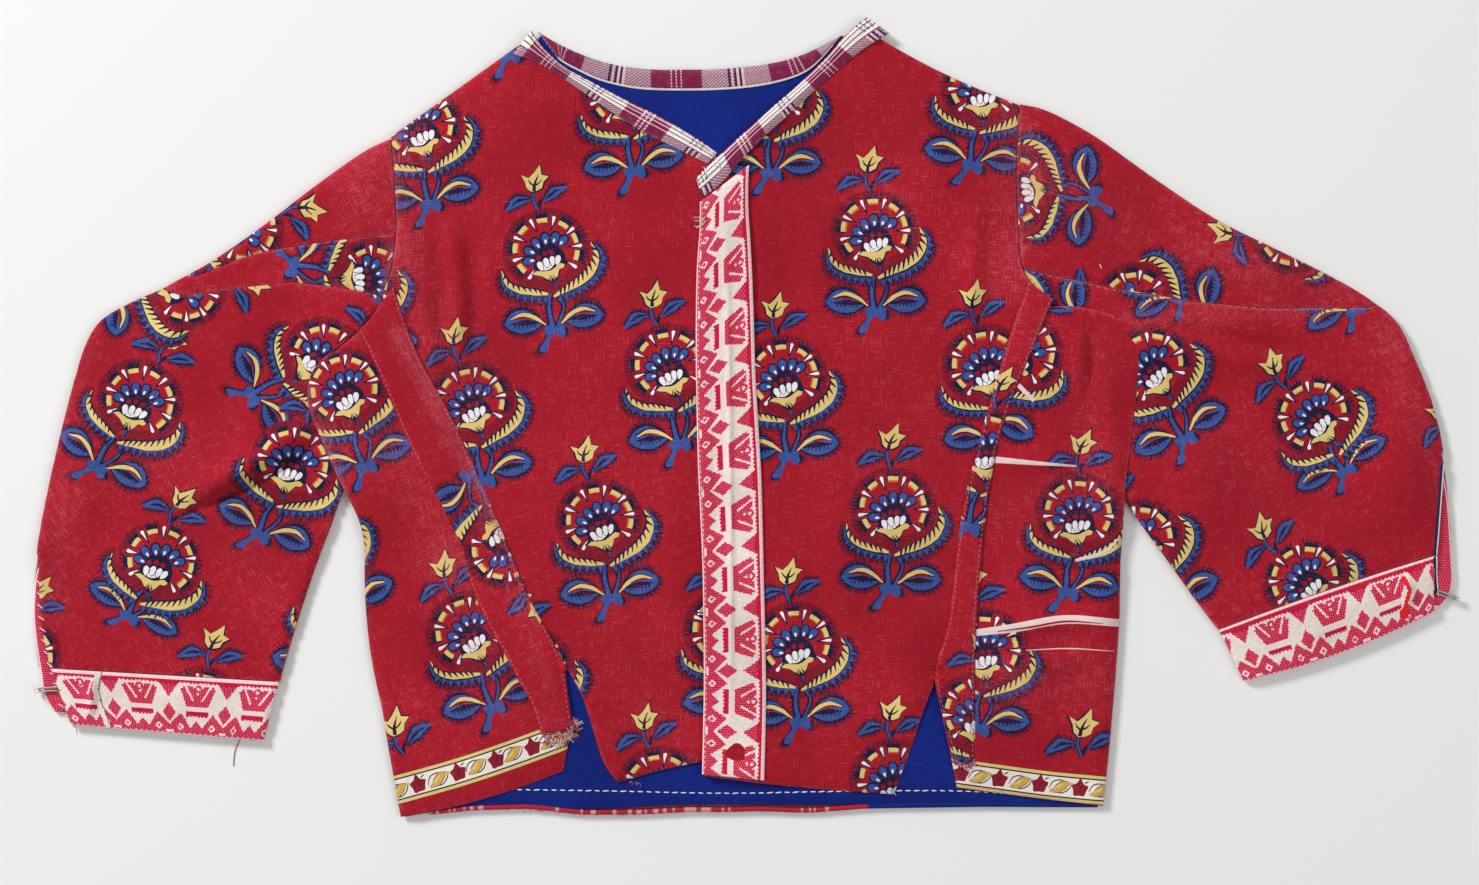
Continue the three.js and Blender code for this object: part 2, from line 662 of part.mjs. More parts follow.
const sleeveLeftRows = [
  { from: [98, 134.5], to: [127, 10] }, // inside the armhole, cut away
  { from: [115, 130.5], to: [147, -17] },
  { from: [132, 126], to: [154.5, -27.5] },
  { from: [163, 105.4], to: [160.5, -36.5] },
  { from: [196, 83.3], to: [167, -46] },
  { from: [225, 68.7], to: [172.5, -53.5] },
  { from: [252, 55], to: [177.5, -60.3] },
  { from: [266, 46], to: [181.5, -66] },
  { from: [273.5, 39], to: [184.5, -70.2] },
  { from: [280, 26], to: [187.5, -74.5] },
  { from: [289, 3], to: [191.5, -79.8] },
  { from: [293, -16], to: [195, -84.5] },
  { from: [296, -42], to: [197.4, -87.5] },
  { from: [296.6, -56], to: [198.8, -89.3], bow: 1 }, // seam of the cuff
];
const cuffLeftRows = [
  { from: [296.7, -56.4], to: [198.9, -89.7], bow: 1 },
  { from: [297.6, -66], to: [202.8, -98], bow: -0.5 },
  { from: [297, -74], to: [206.4, -105.2], bow: -2 },
  { from: [291.5, -81.2], to: [209.4, -111.4], bow: -3.3 },
];

// Seams between the sleeves' pieces, from the armhole to where they meet the upper fold
const seamRightUpper = [
  [-140, 77],
  [-171.5, 73.5],
  [-198, 69.5],
  [-208, 67],
  [-231, 58.2],
  [-246, 60],
];
const seamRightLower = [
  [-140, 40],
  [-151, 44.5],
  [-159.5, 52],
  [-173, 54],
  [-188.5, 56],
  [-208, 54],
  [-236, 50.5],
  [-250, 55],
];
const seamLeft = [
  [108, 63.5],
  [136, 57.5],
  [153.5, 53.8],
  [169.5, 51.2],
  [185.5, 48],
  [219, 45],
  [262, 45.5],
  [272, 49],
  [320, 60],
];
const FAR = 170; // beyond everything that the seams part

/** The outline on one side of a seam: 1 is above it, -1 is below. */
const besideSeam = (seam, side) => {
  const line = moved(seam, 0, (side * SEAM_GAP) / 2);
  const [start, end] = [seam[0][0], seam.at(-1)[0]];
  const outside = end + Math.sign(end) * FAR;
  return [...line, [outside, line.at(-1)[1]], [outside, side * FAR], [start, side * FAR]];
};

const ARMHOLE_GAP = 0.7; // between the armhole's line and the sleeve

/** A sleeve's tube, ended at its armhole. */
function sleeve(rows, armhole, towardsBody) {
  const tube = toSolid(flatTube({ rows, relief: foldHeight, columns: 8, backColumns: 2, steps: 16 }));
  const edge = moved(armhole, -towardsBody * ARMHOLE_GAP, 0);
  const [top, foot] = [edge[0], edge.at(-1)];
  const past = { end: 40, side: 60 }; // how far the cut reaches past the armhole's ends and into the body
  const body = [
    [top[0], top[1] + past.end],
    ...edge,
    [foot[0], foot[1] - past.end],
    [foot[0] + towardsBody * past.side, foot[1] - past.end],
    [top[0] + towardsBody * past.side, top[1] + past.end],
  ];
  return tube.subtract(cutter(body));
}

// The wrist slits: the front layer and the fold are cut back to this edge, the back layer stays.
const slitRight = [
  [-301, -54],
  [-297.4, -54],
  [-295.8, -60],
  [-295.4, -72],
  [-294.6, -87],
  [-291, -105],
  [-287.2, -116.3],
  [-282, -129.8],
  [-282, -140],
  [-301, -140],
];
const slitLeft = [
  [300, -14],
  [292.3, -15],
  [292, -21],
  [290, -48.7],
  [289.3, -60],
  [290, -76.5],
  [288.6, -84.5],
  [288, -90],
  [300, -90],
];
const slitCutter = (outline) => cutter(outline, CLOTH);

const sleeveRight = sleeve(sleeveRightRows, armholeRight, 1);
const overRight = sleeveRight.intersect(cutter(besideSeam(seamRightUpper, 1)));
const stripRight = sleeveRight
  .intersect(cutter(besideSeam(seamRightUpper, -1)))
  .intersect(cutter(besideSeam(seamRightLower, 1)));
const underRight = sleeveRight
  .intersect(cutter(besideSeam(seamRightLower, -1)))
  .subtract(slitCutter(slitRight));
add('sleeve_right_over', toGeometry(overRight), printedCotton);
add('sleeve_right_strip', toGeometry(stripRight), printedCotton);
add('sleeve_right_under', toGeometry(underRight), printedCotton);

const sleeveLeft = sleeve(sleeveLeftRows, armholeLeft, -1);
const overLeft = sleeveLeft.intersect(cutter(besideSeam(seamLeft, 1)));
const underLeft = sleeveLeft.intersect(cutter(besideSeam(seamLeft, -1))).subtract(slitCutter(slitLeft));
add('sleeve_left_over', toGeometry(overLeft), printedCotton);
add('sleeve_left_under', toGeometry(underLeft), printedCotton);

// ---- Cuffs and slit facings ----

for (const [side, rows, slit] of [
  ['right', cuffRightRows, slitRight],
  ['left', cuffLeftRows, slitLeft],
]) {
  const ribbon = toSolid(flatTube({ rows, columns: 4, backColumns: 2, steps: 4 }));
  add(`cuff_${side}`, toGeometry(ribbon.subtract(slitCutter(slit))), wovenRibbon);
}

const facingRightRows = [
  { from: [-295.4, -61], to: [-288, -61] },
  { from: [-297.4, -68], to: [-288.6, -68] },
  { from: [-298, -77], to: [-289, -77] },
  { from: [-298, -90], to: [-288.6, -90] },
  { from: [-295.6, -104], to: [-285.5, -104.5] },
  { from: [-294.2, -116], to: [-283, -117] },
  { from: [-289.6, -124], to: [-280, -124.5] },
];
const facingLeftRows = [
  { from: [292.2, -20], to: [284, -21] },
  { from: [294.9, -34.4], to: [286, -34.4] },
  { from: [296, -48.7], to: [287, -48.7] },
  { from: [296.8, -62.6], to: [287, -62.6] },
  { from: [296.6, -73], to: [286.5, -73] },
  { from: [292.2, -79.6], to: [284, -79] },
];
for (const [side, rows] of [['right', facingRightRows], ['left', facingLeftRows]]) {
  const facing = panel({ rows, top: () => topOf(LINING_LEVEL), columns: 1, steps: 7 });
  add(`slit_facing_${side}`, facing, wovenRibbon);
}

// ---- Wire hooks ----

/** A round wire through points. */
function wire(points) {
  const path = new THREE.CatmullRomCurve3(points.map((point) => new THREE.Vector3(...point)));
  const sides = 5;
  const circle = new THREE.Shape().absarc(0, 0, WIRE / 2, 0, 2 * Math.PI);
  const section = new THREE.Shape(circle.getPoints(sides).slice(0, sides));
  return new THREE.ExtrudeGeometry(section, { steps: 8, bevelEnabled: false, extrudePath: path });
}

/** A hook seen flat: two prongs side by side from the sewing end, joined by a round bend. */
function hook([x, y], direction, height, length) {
  const reach = [Math.cos(direction), Math.sin(direction)];
  const aside = [-reach[1], reach[0]];
  const at = (forward, sideways) => [
    x + reach[0] * forward + aside[0] * sideways,
    y + reach[1] * forward + aside[1] * sideways,
    height,
  ];
  const half = WIRE * 0.75; // from the middle to each prong
  const prong = [
    [0, half * 1.6],
    [length * 0.5, half],
    [length * 0.9, half],
  ];
  const otherProng = reversed(prong).map(([forward, sideways]) => [forward, -sideways]);
  return wire([...prong, [length, 0], ...otherProng].map(([forward, sideways]) => at(forward, sideways)));
}

const onFacing = topOf(LINING_LEVEL) + SEAM_GAP + WIRE / 2;
add('cuff_hook_right', hook([-289.6, -114.4], Math.PI, onFacing, HOOK_LENGTH - 1), steelWire);
add('cuff_hook_left', hook([291.6, -74.2], -0.35, onFacing, HOOK_LENGTH), steelWire);

const onRightFront = topOf(FRONT_LEVEL) + SEAM_GAP + WIRE / 2;
const frontHooks = [
  { at: [-18.6, 82.4], length: 4.6 },
  { at: [-19.2, -31], length: 2.6 },
  { at: [-17.6, -82.4], length: 2.4 },
];
frontHooks.forEach(({ at, length }, index) => {
  add(`front_hook_${index + 1}`, hook(at, Math.PI, onRightFront, length), steelWire);
});

// ---- The origin is under the middle of the whole jacket ----

const bounds = new THREE.Box3().setFromObject(jacket);
const middle = bounds.getCenter(new THREE.Vector3());
jacket.position.set(-middle.x, -middle.y, -bounds.min.z);

export default jacket;
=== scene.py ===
import json
import math

import bmesh
import bpy
import numpy as np
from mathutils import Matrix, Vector, geometry, kdtree
from mathutils.bvhtree import BVHTree

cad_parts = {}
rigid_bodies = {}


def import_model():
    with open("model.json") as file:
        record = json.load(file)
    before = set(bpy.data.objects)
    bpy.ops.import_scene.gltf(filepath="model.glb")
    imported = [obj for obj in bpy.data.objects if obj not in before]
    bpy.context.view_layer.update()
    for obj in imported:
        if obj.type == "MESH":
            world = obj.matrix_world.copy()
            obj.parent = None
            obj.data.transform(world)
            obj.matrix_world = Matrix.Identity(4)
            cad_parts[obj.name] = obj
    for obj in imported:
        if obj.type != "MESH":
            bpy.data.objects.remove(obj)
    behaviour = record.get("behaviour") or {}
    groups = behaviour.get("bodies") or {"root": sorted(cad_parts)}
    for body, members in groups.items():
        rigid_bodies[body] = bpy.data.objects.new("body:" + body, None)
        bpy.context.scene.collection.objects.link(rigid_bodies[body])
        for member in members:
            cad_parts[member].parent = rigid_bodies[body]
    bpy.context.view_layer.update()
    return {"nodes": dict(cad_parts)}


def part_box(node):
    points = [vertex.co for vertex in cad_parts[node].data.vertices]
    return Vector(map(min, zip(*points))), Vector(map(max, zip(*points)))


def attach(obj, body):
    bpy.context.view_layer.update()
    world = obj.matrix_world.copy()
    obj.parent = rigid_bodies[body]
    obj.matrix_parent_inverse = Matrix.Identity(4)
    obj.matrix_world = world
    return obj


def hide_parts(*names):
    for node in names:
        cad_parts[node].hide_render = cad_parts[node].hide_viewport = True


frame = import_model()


# ---- Red printed cotton, of which the body and the sleeves are cut ----
# Plain-weave cotton printed in rows of flower sprigs in yellow, blue, navy and white. The body's pieces are cut
# along its grain, the sleeves across it. It is soft, worn and often washed, so it lies in low soft folds.

# Lengths below are in millimetres. The drawing's zero is found from the placket ribbon's lowest corner.
PLACKET_CORNER = (-20.418, -152.600)
placket_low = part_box("placket_ribbon")[0] * 1000
SHIFT_X = placket_low.x - PLACKET_CORNER[0]
SHIFT_Y = placket_low.y - PLACKET_CORNER[1]


def srgb(code):
    """Linear colour of an sRGB hex value."""
    parts = [int(code[i : i + 2], 16) / 255 for i in (0, 2, 4)]
    return tuple(p / 12.92 if p <= 0.04045 else ((p + 0.055) / 1.055) ** 2.4 for p in parts) + (1.0,)


def skin_of(node, side=1):
    """The outer skin of a solid that looks up (side 1) or down (-1): points, triangles and the outline."""
    form = bmesh.new()
    form.from_mesh(frame["nodes"][node].data)
    bmesh.ops.remove_doubles(form, verts=form.verts, dist=1e-6)
    facing = {face for face in form.faces if face.normal.z * side > 0.02}
    first = max(facing, key=lambda face: face.calc_center_median().z * side)
    skin, open_faces = {first}, [first]
    while open_faces:
        for edge in open_faces.pop().edges:
            for face in edge.link_faces:
                if face in facing and face not in skin:
                    skin.add(face)
                    open_faces.append(face)
    following = {}
    for face in skin:
        for loop in face.loops:
            if sum(other in skin for other in loop.edge.link_faces) == 1:
                following[loop.vert] = loop.link_loop_next.vert
    loops = []
    while following:
        start, vert = following.popitem()
        chain = [start]
        while vert is not start:
            chain.append(vert)
            vert = following.pop(vert)
        loops.append(chain)
    chain = max(loops, key=len)[:: side]
    as_drawn = lambda co: (co.x * 1000 - SHIFT_X, co.y * 1000 - SHIFT_Y, co.z * 1000)
    points, triangles = [], []
    for face in skin:
        corners = [as_drawn(vert.co) for vert in face.verts]
        for i in range(1, len(corners) - 1):
            triangles.append((len(points), len(points) + 1, len(points) + 2))
            points += [corners[0], corners[i], corners[i + 1]]
    outline = np.array([as_drawn(vert.co)[:2] for vert in chain])
    form.free()
    return points, triangles, outline


def through(points, step):
    """A smooth line through points, with points about `step` apart."""
    points = np.asarray(points, float)
    before = 2 * points[0] - points[1]
    after = 2 * points[-1] - points[-2]
    points = np.vstack([before, points, after])
    line = [points[1]]
    for p0, p1, p2, p3 in zip(points, points[1:], points[2:], points[3:]):
        t1 = max(np.linalg.norm(p1 - p0), 1e-6) ** 0.5
        t2 = t1 + max(np.linalg.norm(p2 - p1), 1e-6) ** 0.5
        t3 = t2 + max(np.linalg.norm(p3 - p2), 1e-6) ** 0.5
        count = max(1, round(np.linalg.norm(p2 - p1) / step))
        for t in np.linspace(t1, t2, count + 1)[1:]:
            a1 = (t1 - t) / t1 * p0 + t / t1 * p1
            a2 = (t2 - t) / (t2 - t1) * p1 + (t - t1) / (t2 - t1) * p2
            a3 = (t3 - t) / (t3 - t2) * p2 + (t - t2) / (t3 - t2) * p3
            b1 = (t2 - t) / t2 * a1 + t / t2 * a2
            b2 = (t3 - t) / (t3 - t1) * a2 + (t - t1) / (t3 - t1) * a3
            line.append((t2 - t) / (t2 - t1) * b1 + (t - t1) / (t2 - t1) * b2)
    return np.array(line)


def rounded(outline, step, corner=32):
    """An outline drawn smoothly between its corners, which turn by more than `corner` degrees."""
    keep = [outline[0]]
    for point in outline[1:]:
        if np.linalg.norm(point - keep[-1]) > 0.5:
            keep.append(point)
    if np.linalg.norm(keep[0] - keep[-1]) < 0.5:
        keep.pop()
    points = np.array(keep)
    ahead = np.roll(points, -1, axis=0) - points
    behind = points - np.roll(points, 1, axis=0)
    turn = np.degrees(np.arctan2(ahead[:, 1], ahead[:, 0]) - np.arctan2(behind[:, 1], behind[:, 0]))
    corners = np.flatnonzero(np.abs((turn + 180) % 360 - 180) > corner)
    if len(corners) == 0:
        corners = np.array([0])
    points = np.roll(points, -corners[0], axis=0)
    stops = list(corners - corners[0]) + [len(points)]
    points = np.vstack([points, points[:1]])
    parts = [through(points[a : b + 1], step)[:-1] for a, b in zip(stops, stops[1:])]
    return np.vstack(parts)


def inside(outline, points):
    """Which points lie within an outline."""
    x, y = points[:, 0], points[:, 1]
    result = np.zeros(len(points), bool)
    for (x1, y1), (x2, y2) in zip(outline, np.roll(outline, -1, axis=0)):
        if y1 != y2:
            result ^= ((y1 > y) != (y2 > y)) & (x < (x2 - x1) * (y - y1) / (y2 - y1) + x1)
    return result


def edge_distance(outline, points):
    """Distance of each point from the outline."""
    line = through(np.vstack([outline, outline[:1]]), 0.8)
    tree = kdtree.KDTree(len(line))
    for i, (x, y) in enumerate(line):
        tree.insert((x, y, 0), i)
    tree.balance()
    return np.array([tree.find((x, y, 0))[2] for x, y in points])


def blurred(grid, mask, reach):
    """Heights smoothed within the mask."""
    total, weight = np.where(mask, grid, 0.0), mask.astype(float)
    kernel = np.ones(2 * reach + 1) / (2 * reach + 1)
    for _ in range(3):
        for axis in (0, 1):
            total = np.apply_along_axis(np.convolve, axis, total, kernel, "same")
            weight = np.apply_along_axis(np.convolve, axis, weight, kernel, "same")
    return total / np.maximum(weight, 1e-6), weight


CELL = 1.5  # spacing of the height grids


def lie_of(skin):
    """Heights of a solid's skin, as a smooth field for the middle and a close one for the edges."""
    points, triangles, outline = skin
    tree = BVHTree.FromPolygons(points, triangles)
    low, high = outline.min(0) - 6, outline.max(0) + 6
    xs = np.arange(low[0], high[0] + CELL, CELL)
    ys = np.arange(low[1], high[1] + CELL, CELL)
    close = np.zeros((len(ys), len(xs)))
    for row, y in enumerate(ys):
        for column, x in enumerate(xs):
            hit = tree.ray_cast((x, y, 60), (0, 0, -1))[0] or tree.ray_cast((x, y, -60), (0, 0, 1))[0]
            close[row, column] = hit.z if hit else np.nan
    mask = ~np.isnan(close)
    near, reached = blurred(close, mask, 1)
    close = np.where(mask, close, near)
    soft, _ = blurred(close, reached > 0.02, 3)

    def sample(grid, x, y):
        column = np.clip((x - low[0]) / CELL, 0, len(xs) - 1.001)
        row = np.clip((y - low[1]) / CELL, 0, len(ys) - 1.001)
        i, j = row.astype(int), column.astype(int)
        u, v = row - i, column - j
        top = grid[i, j] * (1 - v) + grid[i, j + 1] * v
        return top * (1 - u) + (grid[i + 1, j] * (1 - v) + grid[i + 1, j + 1] * v) * u

    def height(x, y, edge):
        share = np.clip((edge - 3.5) / 6, 0, 1)
        share = share * share * (3 - 2 * share)
        return sample(close, x, y) * (1 - share) + sample(soft, x, y) * share

    return height


def unevenness(x, y, size, seed):
    """Soft random bumps between -1 and 1, about `size` across."""
    table = np.random.default_rng(seed).uniform(-1, 1, (256, 256))
    u, v = x / size + 37.2, y / size + 91.7
    i, j = np.floor(u).astype(int), np.floor(v).astype(int)
    u, v = u - i, v - j
    u, v = u * u * (3 - 2 * u), v * v * (3 - 2 * v)
    at = lambda a, b: table[(i + a) % 256, (j + b) % 256]
    return (at(0, 0) * (1 - u) + at(1, 0) * u) * (1 - v) + (at(0, 1) * (1 - u) + at(1, 1) * u) * v


def folds_at(x, y, folds):
    """Height of listed folds: rows of (x1, y1, x2, y2, half width, rise, bend)."""
    total = np.zeros(len(x))
    for x1, y1, x2, y2, half, rise, bend in folds:
        run = np.array([x2 - x1, y2 - y1], float)
        length = np.hypot(*run)
        run /= length
        along = ((x - x1) * run[0] + (y - y1) * run[1]) / length
        aside = (y - y1) * run[0] - (x - x1) * run[1] - bend * 4 * along * (1 - along)
        fade = np.clip(np.minimum(along, 1 - along) * 3.2, 0, 1)
        total += rise * fade * fade * (3 - 2 * fade) * np.exp(-((aside / half) ** 2))
    return total


def area_of(outline):
    x, y = np.asarray(outline).T
    return abs(np.sum(x * np.roll(y, -1) - np.roll(x, -1) * y)) / 2


def triangulate(points, outline_count, shapes):
    """Cuts cloth into triangles along its outline and along the shapes printed on it."""
    wanted = area_of(points[:outline_count])
    best = None
    # where edges coincide the cut can lose the outline: then it starts elsewhere, with the shapes moved by a hair
    for attempt in range(8):
        first = attempt * outline_count // 8
        coordinates = [Vector(p) for p in points]
        faces = [[*range(first, outline_count), *range(first)]]
        for shape in shapes:
            start = len(coordinates)
            coordinates += [Vector(p + 0.013 * attempt) for p in shape]
            faces.append(list(range(start, len(coordinates))))
        result = geometry.delaunay_2d_cdt(coordinates, [], faces, 1, 1e-4, True)
        corners = np.array([(p.x, p.y) for p in result[0]])
        kept = [k for k, origins in enumerate(result[5]) if 0 in origins]
        fault = abs(sum(area_of(corners[list(result[2][k])]) for k in kept) / wanted - 1)
        if best is None or fault < best[0]:
            best = (fault, result, corners, kept)
        if fault < 0.002:
            break
    fault, result, flat, kept = best
    triangles = np.array([result[2][k] for k in kept])
    sources = [result[5][k] for k in kept]
    layers = np.array([max(origins) for origins in sources])
    # a shape never colours cloth outside its own box
    middles = flat[triangles].mean(1)
    low = np.array([(-1e9, -1e9)] + [np.min(shape, axis=0) - 0.1 for shape in shapes])
    high = np.array([(1e9, 1e9)] + [np.max(shape, axis=0) + 0.1 for shape in shapes])
    for k in np.flatnonzero(((middles < low[layers]) | (middles > high[layers])).any(1)):
        layers[k] = max(o for o in sources[k] if (low[o] <= middles[k]).all() and (middles[k] <= high[o]).all())
    return flat, triangles, layers, result[3]


def anticlockwise(points):
    points = np.asarray(points, float)
    x, y = points[:, 0], points[:, 1]
    area = np.sum(x * np.roll(y, -1) - np.roll(x, -1) * y)
    return points if area > 0 else points[::-1]


def dressed_mesh(name, points, triangles, colours, uv, worn):
    """A mesh with its printed colours, the cloth's grain as its UV map, and how worn it is."""
    mesh = bpy.data.meshes.new(name)
    placed = (np.asarray(points) + (SHIFT_X, SHIFT_Y, 0)) / 1000
    mesh.from_pydata(placed.tolist(), [], np.asarray(triangles).tolist())
    print_layer = mesh.color_attributes.new("print", "FLOAT_COLOR", "CORNER")
    print_layer.data.foreach_set("color", np.repeat(colours, 3, axis=0).astype(np.float32).ravel())
    grain = mesh.uv_layers.new(name="grain")
    corners = np.asarray(triangles).ravel()
    grain.data.foreach_set("uv", (np.asarray(uv)[corners] / 1000).astype(np.float32).ravel())
    mesh.attributes.new("worn", "FLOAT", "POINT").data.foreach_set("value", np.asarray(worn, np.float32))
    mesh.polygons.foreach_set("use_smooth", np.ones(len(mesh.polygons), bool))
    mesh.update()
    return mesh


def rim_of(triangles):
    """The points around the open edge of a sheet, in order."""
    edges = {}
    for a, b, c in triangles:
        for start, end in ((a, b), (b, c), (c, a)):
            if (end, start) in edges:
                del edges[(end, start)]
            else:
                edges[(start, end)] = True
    following = dict(edges.keys())
    start = next(iter(following))
    rim, vert = [start], following[start]
    while vert != start:
        rim.append(vert)
        vert = following[vert]
    return rim


def grid_within(outline, spacing):
    low, high = outline.min(0), outline.max(0)
    rows = []
    for k, y in enumerate(np.arange(low[1] + spacing / 2, high[1], spacing * 0.866)):
        xs = np.arange(low[0] + (k % 2) * spacing / 2, high[0], spacing)
        rows.append(np.column_stack([xs, np.full(len(xs), y)]))
    points = np.vstack(rows)
    return points[inside(outline, points)]


def outward(outline, amount):
    """An outline made larger all round."""
    ahead = np.roll(outline, -1, axis=0) - np.roll(outline, 1, axis=0)
    return outline + np.column_stack([ahead[:, 1], -ahead[:, 0]]) / np.linalg.norm(ahead, axis=1)[:, None] * amount


def two_sided(name, flat, triangles, face_colours, wrong, rim_colour, grain_of, outline, lie, ease, edge_drop,
              least, thickness, printed_down, worn_lines, edge_wear):
    """Gives a flat cut piece its lie and a second side, and closes it round its edge."""

    def rise(points, around=((0, 0),)):
        edge = edge_distance(outline, points)
        drop = edge_drop * np.exp(-((edge / 1.1) ** 2))
        heights = []
        for dx, dy in around:
            x, y = points[:, 0] + dx, points[:, 1] + dy
            lift = ease(x, y) * np.clip(edge / 9, 0, 1) if ease else 0.0
            heights.append(np.maximum(lie(x, y, edge) + lift, least) - drop)
        return np.min(heights, axis=0), edge

    height, edge = rise(flat)
    rim = rim_of(triangles)
    back_field = grid_within(outline, 7.0)
    back_field = back_field[edge_distance(outline, back_field) > 3]
    back_flat, back_triangles, _, origin = triangulate(np.vstack([flat[rim], back_field]), len(rim), [])
    # the second side is coarser, so it takes the lowest place nearby
    ring = [(4 * math.cos(a), 4 * math.sin(a)) for a in np.arange(8) * math.pi / 4] if ease else []
    back_height, back_edge = rise(back_flat, ((0, 0), *ring))
    if printed_down:
        height, back_height = np.maximum(height, 0.03), np.maximum(back_height, 0.03) + thickness
    else:
        back_height = np.maximum(back_height - thickness, 0.03)
    matched = {}
    for index, sources in enumerate(origin):
        for source in sources:
            if source < len(rim):
                matched[source] = index
    count = len(flat)
    points = np.vstack([np.column_stack([flat, height]), np.column_stack([back_flat, back_height])])
    back_order = back_triangles[:, ::-1] + count
    sides = []
    for k in range(len(rim)):
        a, b = rim[k], rim[(k + 1) % len(rim)]
        c, d = matched[(k + 1) % len(rim)] + count, matched[k] + count
        sides += [(a, d, c), (a, c, b)]
    everything = np.vstack([triangles, back_order, sides])
    if printed_down:
        everything = everything[:, ::-1]
    colours = np.vstack([face_colours, np.tile(wrong, (len(back_order), 1)), np.tile(rim_colour, (len(sides), 1))])
    worn = edge_wear * np.exp(-((np.concatenate([edge, back_edge]) / 1.0) ** 2))
    for x1, y1, x2, y2, reach, amount in worn_lines:
        run = np.array([x2 - x1, y2 - y1])
        along = np.clip((points[:, :2] - (x1, y1)) @ run / max(run @ run, 1e-6), 0, 1)
        away = np.linalg.norm(points[:, :2] - (x1, y1) - along[:, None] * run, axis=1)
        worn += amount * np.exp(-((away / reach) ** 2))
    return dressed_mesh(name, points, everything, colours, grain_of(points[:, :2]), worn)


def sheet_of_cloth(name, skin, shapes, *, grain, plain, wrong, ease=None, edge_drop=0.6, least=0.0, spacing=3.0,
                   thickness=0.7, grow=0.15, printed_down=False, worn_lines=(), edge_wear=0.55):
    """A closed thin piece of cloth on a solid's skin, with its print, folds and turned edges."""
    outline = outward(rounded(skin[2], 2.0), grow)
    field = grid_within(outline, spacing)
    edge = edge_distance(outline, field)
    field = field[edge > 2.6]
    rings = []
    for inset in (0.6, 1.6):
        ring = outward(outline, -inset)
        ring = ring[inside(outline, ring)]
        rings.append(ring[edge_distance(outline, ring) > inset * 0.7])
    seeds = np.vstack([outline, *rings, field])
    polygons = [anticlockwise(points) for _, points in shapes]
    flat, triangles, layers, _ = triangulate(seeds, len(outline), polygons)
    palette = np.array([plain] + [colour for colour, _ in shapes])
    angle = math.radians(grain)
    turn = np.array([[math.cos(angle), -math.sin(angle)], [math.sin(angle), math.cos(angle)]])
    mesh = two_sided(name, flat, triangles, palette[layers], wrong, plain, lambda points: points @ turn, outline,
                     lie_of(skin), ease, edge_drop, least, thickness, printed_down, worn_lines, edge_wear)
    return mesh, outline


RED = srgb("a01325")
NAVY = srgb("1c1436")
BLUE = srgb("325092")
YELLOW = srgb("d8bf74")
ORANGE = srgb("c06a2a")
DARK_RED = srgb("8c1020")
SHADED_RED = srgb("7e1125")
WHITE = srgb("e9e5e6")


def stroke(points, widths, count=7):
    """Outline of a brush stroke along a line, as wide as given at each of its points."""
    line = through(points, 1)
    stops = np.linspace(0, 1, len(points))
    line = np.column_stack([np.interp(np.linspace(0, 1, count * (len(points) - 1) + 1),
                                      np.linspace(0, 1, len(line)), line[:, i]) for i in (0, 1)])
    width = np.interp(np.linspace(0, 1, len(line)), stops, widths) / 2
    run = np.gradient(line, axis=0)
    aside = np.column_stack([-run[:, 1], run[:, 0]]) / np.maximum(np.linalg.norm(run, axis=1), 1e-6)[:, None]
    return np.vstack([line + aside * width[:, None], (line - aside * width[:, None])[::-1]])


def drop(x, y, length, width, angle, count=9):
    """A drop with its point towards `angle`."""
    t = np.linspace(0, 2 * np.pi, count, endpoint=False)
    along = np.cos(t) * length / 2
    aside = np.sin(t) * width / 2 * (1 - 0.28 * np.cos(t))
    a = math.radians(angle)
    return np.column_stack([x + along * math.cos(a) - aside * math.sin(a),
                            y + along * math.sin(a) + aside * math.cos(a)])


def arc_band(radius_in, radius_out, start, stop, count=4, squash=0.95):
    t = np.radians(np.linspace(start, stop, count))
    ring = lambda r: np.column_stack([r * np.cos(t), squash * r * np.sin(t)])
    return np.vstack([ring(radius_in), ring(radius_out)[::-1]])


def teeth(points, length, spacing, base, lean=0.3, rng=None, tip=0.0):
    """Small pointed shapes standing out to the left of a line (to the right for a negative length)."""
    line = through(points, 0.5)
    steps = np.linalg.norm(np.diff(line, axis=0), axis=1)
    reach = np.concatenate([[0], np.cumsum(steps)])
    result = []
    for at in np.arange(spacing * 0.4, reach[-1], spacing):
        at += rng.uniform(-0.22, 0.22) * spacing if rng else 0
        foot = np.array([np.interp(at, reach, line[:, i]) for i in (0, 1)])
        ahead = np.array([np.interp(at + 0.4, reach, line[:, i]) for i in (0, 1)]) - foot
        if not ahead.any():
            continue
        ahead /= np.linalg.norm(ahead)
        out = np.array([-ahead[1], ahead[0]])
        tall = length * (rng.uniform(0.75, 1.2) if rng else 1)
        top = foot + out * tall + ahead * lean * abs(tall)
        side = ahead * base / 2
        result.append(np.array([foot - side, foot + side, top + ahead * tip / 2, top - ahead * tip / 2])
                      if tip else np.array([foot - side, foot + side, top]))
    return result


def wedge(x, y, length, width, angle):
    """A tick, round and wide at its outer end and sharp towards the middle."""
    a = math.radians(angle)
    shape = np.array([(-0.5, 0), (0.1, 0.34), (0.38, 0.5), (0.5, 0.22), (0.5, -0.22), (0.38, -0.5), (0.1, -0.34)])
    along, aside = shape[:, 0] * length, shape[:, 1] * width
    return np.column_stack([x + along * math.cos(a) - aside * math.sin(a),
                            y + along * math.sin(a) + aside * math.cos(a)])


def closed(points, step=1.2):
    """A smooth closed shape through points."""
    points = np.asarray(points, float)
    return through(np.vstack([points[-1:], points, points[:2]]), step)[
        max(1, round(np.linalg.norm(points[0] - points[-1]) / step)):
        -max(1, round(np.linalg.norm(points[1] - points[0]) / step)) - 1]


